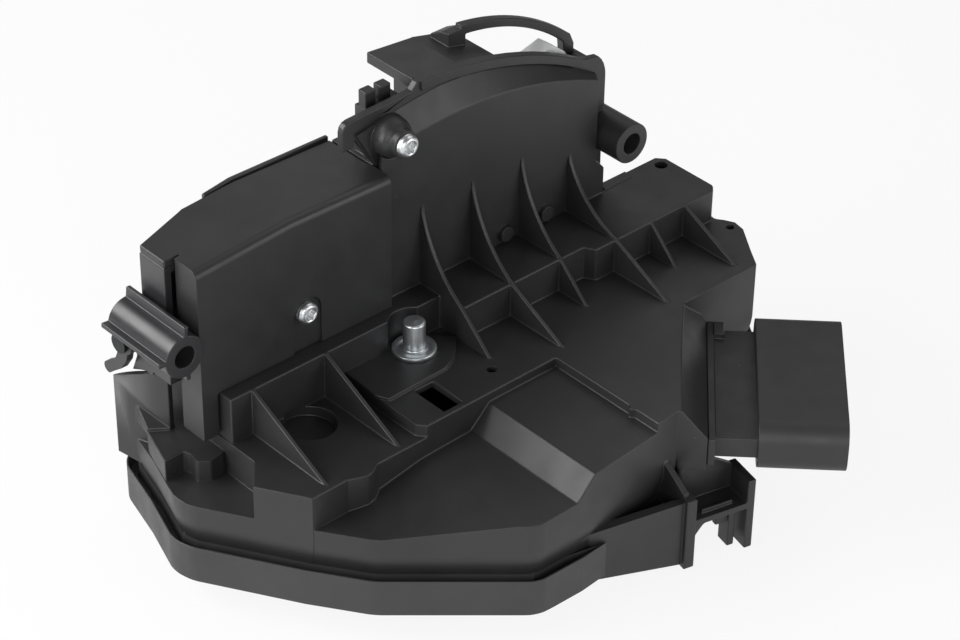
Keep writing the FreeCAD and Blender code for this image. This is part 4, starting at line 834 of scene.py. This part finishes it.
def make_stud():
    """Foot, collar with a fine groove in its top, and pin with a rounded end."""
    rings = [(0, -3.2), (2.5, -3.2), (2.6, -3.1), (2.6, 0), (6.1, 0), (6.25, 0.14), (6.25, 1.18),
             (6.19, 1.33), (6.04, 1.4), (4.1, 1.4), (4.04, 1.34), (3.9, 1.34), (3.84, 1.4),
             (3.6, 1.4), (3.54, 1.32), (3.4, 1.32), (3.3, 1.42), (3.18, 1.52), (3.15, 1.7),
             (3.15, 9.4), (3.12, 9.56), (2.86, 9.84), (2.66, 9.96), (2.5, 9.98), (0.5, 9.94),
             (0.34, 9.98), (0.2, 10.0), (0, 10.0)]
    thing = turned("locating_stud_turned", [(r, z, 0) for r, z in rings], at)
    hand_over(thing, "locating_stud", "housing", turned_zinc)
    print(thing.name, len(thing.data.polygons), "faces")


make_screws()
make_stud()

# %% [markdown]
# What repeats is grown by Geometry Nodes: the coils of the springs, the rows of contact pins,
# the thread of the worm and the teeth of the gear. Each kind has a node group of its own with
# named inputs. A group runs on an empty object, and its result is kept as a plain mesh.

# %% Tools for growing pieces
NUMBER, WHOLE, TRIPLE = "NodeSocketFloat", "NodeSocketInt", "NodeSocketVector"


def new_group(name, inputs):
    """Geometry group with named inputs, given as {name: socket type}."""
    group = bpy.data.node_groups.new(name, "GeometryNodeTree")
    for label, kind in inputs.items():
        group.interface.new_socket(label, in_out="INPUT", socket_type=kind)
    group.interface.new_socket("Material", in_out="INPUT", socket_type="NodeSocketMaterial")
    group.interface.new_socket("Geometry", in_out="OUTPUT", socket_type="NodeSocketGeometry")
    return group, group.nodes.new("NodeGroupInput").outputs


def math_node(tree, operation, first, second=None):
    """A Math node; first and second are sockets or plain numbers."""
    values = {i: v for i, v in enumerate((first, second)) if isinstance(v, (int, float))}
    links = {i: v for i, v in enumerate((first, second))
             if v is not None and not isinstance(v, (int, float))}
    return add_node(tree, "ShaderNodeMath", {"operation": operation, **values}, links).outputs[0]


def finish_group(tree, given, parts):
    """Joins the parts, makes instances real, moves them into place and sets the material."""
    joined = add_node(tree, "GeometryNodeJoinGeometry")
    for part in parts:
        tree.links.new(part, joined.inputs[0])
    real = add_node(tree, "GeometryNodeRealizeInstances", None, {0: joined.outputs[0]})
    placed = add_node(tree, "GeometryNodeTransform", None,
                      {"Geometry": real.outputs[0], "Translation": given["Place"],
                       "Rotation": given["Turn"]})
    smooth = add_node(tree, "GeometryNodeSetShadeSmooth", None,
                      {"Geometry": placed.outputs[0]})
    done = add_node(tree, "GeometryNodeSetMaterial", None,
                    {"Geometry": smooth.outputs[0], "Material": given["Material"]})
    add_node(tree, "NodeGroupOutput", None, {0: done.outputs[0]})


def grow(name, group, values, material):
    """Runs a group with the given inputs and keeps what it makes as a plain mesh."""
    maker = bpy.data.objects.new(name, bpy.data.meshes.new(name + "_start"))
    bpy.context.scene.collection.objects.link(maker)
    modifier = maker.modifiers.new("grow", "NODES")
    modifier.node_group = group
    for item in group.interface.items_tree:
        if item.in_out == "INPUT":
            modifier[item.identifier] = material if item.name == "Material" else values[item.name]
    seen = maker.evaluated_get(bpy.context.evaluated_depsgraph_get())
    mesh = bpy.data.meshes.new_from_object(seen)
    maker.modifiers.clear()
    maker.data = mesh
    return maker


# %% [markdown]
# A torsion spring is one wire: a straight leg, some turns and another straight leg. The group
# makes a line of points, turns the index of each point into an angle, and pulls the first and
# the last point out to the ends of the legs.

# %% Springs
SPRINGS = {
    # node: (centre X, centre Z, start Y, coil radius, wire radius, turns) in millimetres
    "claw_spring": (50.0, 35.0, 28.8, 6.6, 0.6, 2),
    "pawl_spring": (20.0, 27.0, 27.1, 6.0, 0.55, 3),
}
SPRING_STEPS = 48
SPRING_GAP = 0.25
LEG_EXTRA = 1.5
WIRE_SIDES = 12


def spring_group():
    """Wire with two legs and any number of turns, round the Z axis."""
    tree, given = new_group("torsion_spring", {
        "Place": TRIPLE, "Turn": TRIPLE, "Coil radius": NUMBER, "Wire radius": NUMBER,
        "Turns": WHOLE, "Steps per turn": WHOLE, "Pitch": NUMBER, "Leg": NUMBER})
    steps = math_node(tree, "MULTIPLY", given["Turns"], given["Steps per turn"])
    line = add_node(tree, "GeometryNodeMeshLine", None, {"Count": math_node(tree, "ADD", steps, 3)})
    curve = add_node(tree, "GeometryNodeMeshToCurve", None, {0: line.outputs[0]})
    index = math_node(tree, "SUBTRACT", add_node(tree, "GeometryNodeInputIndex").outputs[0], 1)
    round_step = math_node(tree, "MAXIMUM", math_node(tree, "MINIMUM", index, steps), 0)
    share = math_node(tree, "DIVIDE", round_step, given["Steps per turn"])
    angle = math_node(tree, "MULTIPLY", share, 2 * math.pi)
    before = math_node(tree, "LESS_THAN", index, -0.5)
    after = math_node(tree, "GREATER_THAN", index, math_node(tree, "ADD", steps, 0.5))
    leg = math_node(tree, "MULTIPLY", math_node(tree, "SUBTRACT", after, before), given["Leg"])
    across = math_node(tree, "MULTIPLY", math_node(tree, "COSINE", angle), given["Coil radius"])
    along = math_node(tree, "MULTIPLY", math_node(tree, "SINE", angle), given["Coil radius"])
    point = add_node(tree, "ShaderNodeCombineXYZ", None,
                     {0: across, 1: math_node(tree, "ADD", along, leg),
                      2: math_node(tree, "MULTIPLY", share, given["Pitch"])})
    shaped = add_node(tree, "GeometryNodeSetPosition", None,
                      {"Geometry": curve.outputs[0], "Position": point.outputs[0]})
    section = add_node(tree, "GeometryNodeCurvePrimitiveCircle", {"Resolution": WIRE_SIDES},
                       {"Radius": given["Wire radius"]})
    wire = add_node(tree, "GeometryNodeCurveToMesh", {"Fill Caps": True},
                    {"Curve": shaped.outputs[0], "Profile Curve": section.outputs[0]})
    finish_group(tree, given, [wire.outputs[0]])
    return tree


def make_springs():
    group = spring_group()
    for name, (x, z, y, radius, wire, turns) in SPRINGS.items():
        thing = grow(name + "_wire", group, {
            "Place": at(x, y + wire, z), "Turn": (math.radians(-90), 0, 0),
            "Coil radius": radius * MM, "Wire radius": wire * MM, "Turns": turns,
            "Steps per turn": SPRING_STEPS, "Pitch": (2 * wire + SPRING_GAP) * MM,
            "Leg": (radius + LEG_EXTRA) * MM}, spring_steel)
        hand_over(thing, name, "housing", spring_steel)
        print(thing.name, len(thing.data.polygons), "faces")


make_springs()

# %% [markdown]
# The contact pins stand in two rows on a small bar at the bottom of the plug shroud. One pin
# is a square bar with a tapered tip, and a grid of points carries the copies.

# %% Contact pins
PLUG_TURN = math.radians(-45)
PLUG_START = (56.3, -47.2, -14.8)
PIN_ROOT = 25.22
PIN_REACH = 14.0
PIN_SIDE = 0.8
PIN_TAPER, TIP_SHARE = 1.4, 0.4
PIN_COLUMNS, PIN_ROWS = 9, 2
PIN_PITCH, PIN_ROW_GAP = 4.6, 5.0
BAR_SIZE = (1.6, 41.4, 7.0)


def on_plug(s, t, z):
    """Point of the frame from the plug's own axes: out, across and up, in millimetres."""
    cos_t, sin_t = math.cos(PLUG_TURN), math.sin(PLUG_TURN)
    x, y, low = PLUG_START
    return at(x + s * cos_t - t * sin_t, y + s * sin_t + t * cos_t, low + z)


def pin_group():
    """Rows of square pins with tapered tips, on a bar."""
    tree, given = new_group("pin_field", {
        "Place": TRIPLE, "Turn": TRIPLE, "Columns": WHOLE, "Rows": WHOLE, "Width": NUMBER,
        "Height": NUMBER, "Side": NUMBER, "Reach": NUMBER, "Taper": NUMBER, "Bar size": TRIPLE})
    shank_length = math_node(tree, "SUBTRACT", given["Reach"], given["Taper"])
    shank_size = add_node(tree, "ShaderNodeCombineXYZ", None,
                          {0: given["Side"], 1: given["Side"], 2: shank_length})
    shank = add_node(tree, "GeometryNodeMeshCube", None, {"Size": shank_size.outputs[0]})
    lift = add_node(tree, "ShaderNodeCombineXYZ", None,
                    {2: math_node(tree, "MULTIPLY", shank_length, 0.5)})
    shank = add_node(tree, "GeometryNodeTransform", None,
                     {"Geometry": shank.outputs["Mesh"], "Translation": lift.outputs[0]})
    corner = math_node(tree, "MULTIPLY", given["Side"], math.sqrt(0.5))
    tip = add_node(tree, "GeometryNodeMeshCone", {"Vertices": 4},
                   {"Radius Bottom": corner, "Depth": given["Taper"],
                    "Radius Top": math_node(tree, "MULTIPLY", corner, TIP_SHARE)})
    top = add_node(tree, "ShaderNodeCombineXYZ", None, {2: shank_length})
    tip = add_node(tree, "GeometryNodeTransform", {"Rotation": (0, 0, math.pi / 4)},
                   {"Geometry": tip.outputs["Mesh"], "Translation": top.outputs[0]})
    pin = add_node(tree, "GeometryNodeJoinGeometry")
    for part in (shank, tip):
        tree.links.new(part.outputs[0], pin.inputs[0])
    grid = add_node(tree, "GeometryNodeMeshGrid", None,
                    {"Size X": given["Height"], "Size Y": given["Width"],
                     "Vertices X": given["Rows"], "Vertices Y": given["Columns"]})
    copies = add_node(tree, "GeometryNodeInstanceOnPoints", None,
                      {"Points": grid.outputs["Mesh"], "Instance": pin.outputs[0]})
    bar = add_node(tree, "GeometryNodeMeshCube", None, {"Size": given["Bar size"]})
    finish_group(tree, given, [copies.outputs[0], bar.outputs["Mesh"]])
    return tree


def make_pins():
    """The group builds the field upright, along Z, and lays it down on the plug's axis."""
    out, across, up = BAR_SIZE
    pins = grow("contact_pin_field", pin_group(), {
        "Place": on_plug(PIN_ROOT + out / 2, 0, 0), "Turn": (0, math.pi / 2, PLUG_TURN),
        "Columns": PIN_COLUMNS, "Rows": PIN_ROWS, "Width": PIN_PITCH * (PIN_COLUMNS - 1) * MM,
        "Height": PIN_ROW_GAP * MM, "Side": PIN_SIDE * MM,
        "Reach": (PIN_REACH - out / 2) * MM, "Taper": PIN_TAPER * MM,
        "Bar size": (up * MM, across * MM, out * MM)}, tin_plate)
    hand_over(pins, "contact_pins", "housing", tin_plate)
    print(pins.name, len(pins.data.polygons), "faces")


make_pins()

# %% [markdown]
# The worm's thread is one more sweep of a wire round an axis, so the spring's group is used
# again, now on its side. The gear is a star that is drawn, rounded and swept along its axis,
# and a Boolean node takes out the bore and the web between hub and rim.

# %% Worm and gear
WORM_START = (46.0, -10.0, -19.0)
WORM_LENGTH = 17.0
WORM_SHAFT_FROM, WORM_SHAFT_TO = -4.0, 30.0
WORM_CORE_R, WORM_THREAD_R, WORM_SHAFT_R, WORM_CHAMFER = 2.6, 0.85, 1.2, 0.2
WORM_TURNS, WORM_PITCH, WORM_THREAD_FROM = 5, 3.1, 0.8
GEAR_CENTRE = (54.0, 9.1, -19.0)
GEAR_R, GEAR_T, GEAR_TEETH = 15.0, 6.0, 28
TOOTH_H, TOOTH_ROUND = 1.7, 0.3
GEAR_BORE_R, GEAR_HUB_R, GEAR_RIM, WEB_DEPTH = 2.08, 4.5, 2.5, 1.2


def joined(name, things):
    """One mesh object from several, whose objects are removed."""
    shape = bmesh.new()
    for thing in things:
        shape.from_mesh(thing.data)
        bpy.data.objects.remove(thing)
    mesh = bpy.data.meshes.new(name)
    shape.to_mesh(mesh)
    shape.free()
    whole = bpy.data.objects.new(name, mesh)
    bpy.context.scene.collection.objects.link(whole)
    return whole


def make_worm(spring):
    """Turned core on the motor's shaft, with the spring's sweep as its thread."""
    x, y, z = WORM_START
    end_r = WORM_CORE_R - WORM_CHAMFER
    rings = [(0, WORM_SHAFT_FROM), (WORM_SHAFT_R, WORM_SHAFT_FROM), (WORM_SHAFT_R, 0),
             (end_r, 0), (WORM_CORE_R, WORM_CHAMFER), (WORM_CORE_R, WORM_LENGTH - WORM_CHAMFER),
             (end_r, WORM_LENGTH), (WORM_SHAFT_R, WORM_LENGTH),
             (WORM_SHAFT_R, WORM_SHAFT_TO), (0, WORM_SHAFT_TO)]
    core = turned("worm_core", [(r, h, 0) for r, h in rings],
                  lambda u, v, h: at(x + h, y + u, z + v))
    thread = grow("worm_thread", spring, {
        "Place": at(x + WORM_THREAD_FROM, y, z), "Turn": (0, math.pi / 2, 0),
        "Coil radius": (WORM_CORE_R + 0.1) * MM, "Wire radius": WORM_THREAD_R * MM,
        "Turns": WORM_TURNS, "Steps per turn": SPRING_STEPS, "Pitch": WORM_PITCH * MM,
        "Leg": 0.2 * MM}, grey_acetal)
    worm = joined("motor_worm_threaded", [core, thread])
    hand_over(worm, "motor_worm", "worm", grey_acetal)
    print(worm.name, len(worm.data.polygons), "faces")


def gear_group():
    """Toothed wheel with a bore, and a web that is sunk between hub and rim."""
    tree, given = new_group("toothed_wheel", {
        "Place": TRIPLE, "Turn": TRIPLE, "Teeth": WHOLE, "Outer radius": NUMBER,
        "Root radius": NUMBER, "Tooth round": NUMBER, "Thickness": NUMBER,
        "Bore radius": NUMBER, "Hub radius": NUMBER, "Web radius": NUMBER, "Web depth": NUMBER})
    star = add_node(tree, "GeometryNodeCurveStar", None,
                    {"Points": given["Teeth"], "Inner Radius": given["Root radius"],
                     "Outer Radius": given["Outer radius"]})
    teeth = add_node(tree, "GeometryNodeFilletCurve", {"mode": "POLY", "Count": 3},
                     {"Curve": star.outputs["Curve"], "Radius": given["Tooth round"]})
    top = add_node(tree, "ShaderNodeCombineXYZ", None, {2: given["Thickness"]})
    axis = add_node(tree, "GeometryNodeCurvePrimitiveLine", None, {"End": top.outputs[0]})
    wheel = add_node(tree, "GeometryNodeCurveToMesh", {"Fill Caps": True},
                     {"Curve": axis.outputs[0], "Profile Curve": teeth.outputs[0]})

    def drum(radius, depth, height):
        """Cylinder on the wheel's axis whose middle is at a height."""
        body = add_node(tree, "GeometryNodeMeshCylinder", {"Vertices": 64},
                        {"Radius": radius, "Depth": depth})
        lift = add_node(tree, "ShaderNodeCombineXYZ", None, {2: height})
        return add_node(tree, "GeometryNodeTransform", None,
                        {"Geometry": body.outputs["Mesh"], "Translation": lift.outputs[0]})

    long_way = math_node(tree, "MULTIPLY", given["Thickness"], 3.0)
    web = drum(given["Web radius"], math_node(tree, "MULTIPLY", given["Web depth"], 2.0),
               given["Thickness"])
    hub = drum(given["Hub radius"], long_way, given["Thickness"])
    bore = drum(given["Bore radius"], long_way, given["Thickness"])
    ring = add_node(tree, "GeometryNodeMeshBoolean", {"operation": "DIFFERENCE"},
                    {0: web.outputs[0], 1: hub.outputs[0]})
    cut = add_node(tree, "GeometryNodeMeshBoolean", {"operation": "DIFFERENCE"},
                   {0: wheel.outputs[0]})
    for tool in (ring, bore):
        tree.links.new(tool.outputs[0], cut.inputs[1])
    finish_group(tree, given, [cut.outputs[0]])
    return tree


def make_gear():
    """The lock drive's wheel, lying flat in the base."""
    x, y, z = GEAR_CENTRE
    root = GEAR_R - TOOTH_H
    gear = grow("worm_gear_toothed", gear_group(), {
        "Place": at(x, y, z - GEAR_T / 2), "Turn": (0, 0, 0), "Teeth": GEAR_TEETH,
        "Outer radius": GEAR_R * MM, "Root radius": root * MM, "Tooth round": TOOTH_ROUND * MM,
        "Thickness": GEAR_T * MM, "Bore radius": GEAR_BORE_R * MM, "Hub radius": GEAR_HUB_R * MM,
        "Web radius": (root - GEAR_RIM) * MM, "Web depth": WEB_DEPTH * MM}, white_acetal)
    for face in gear.data.polygons:
        face.use_smooth = False
    hand_over(gear, "worm_gear", "gear", white_acetal)
    print(gear.name, len(gear.data.polygons), "faces")


make_worm(bpy.data.node_groups["torsion_spring"])
make_gear()
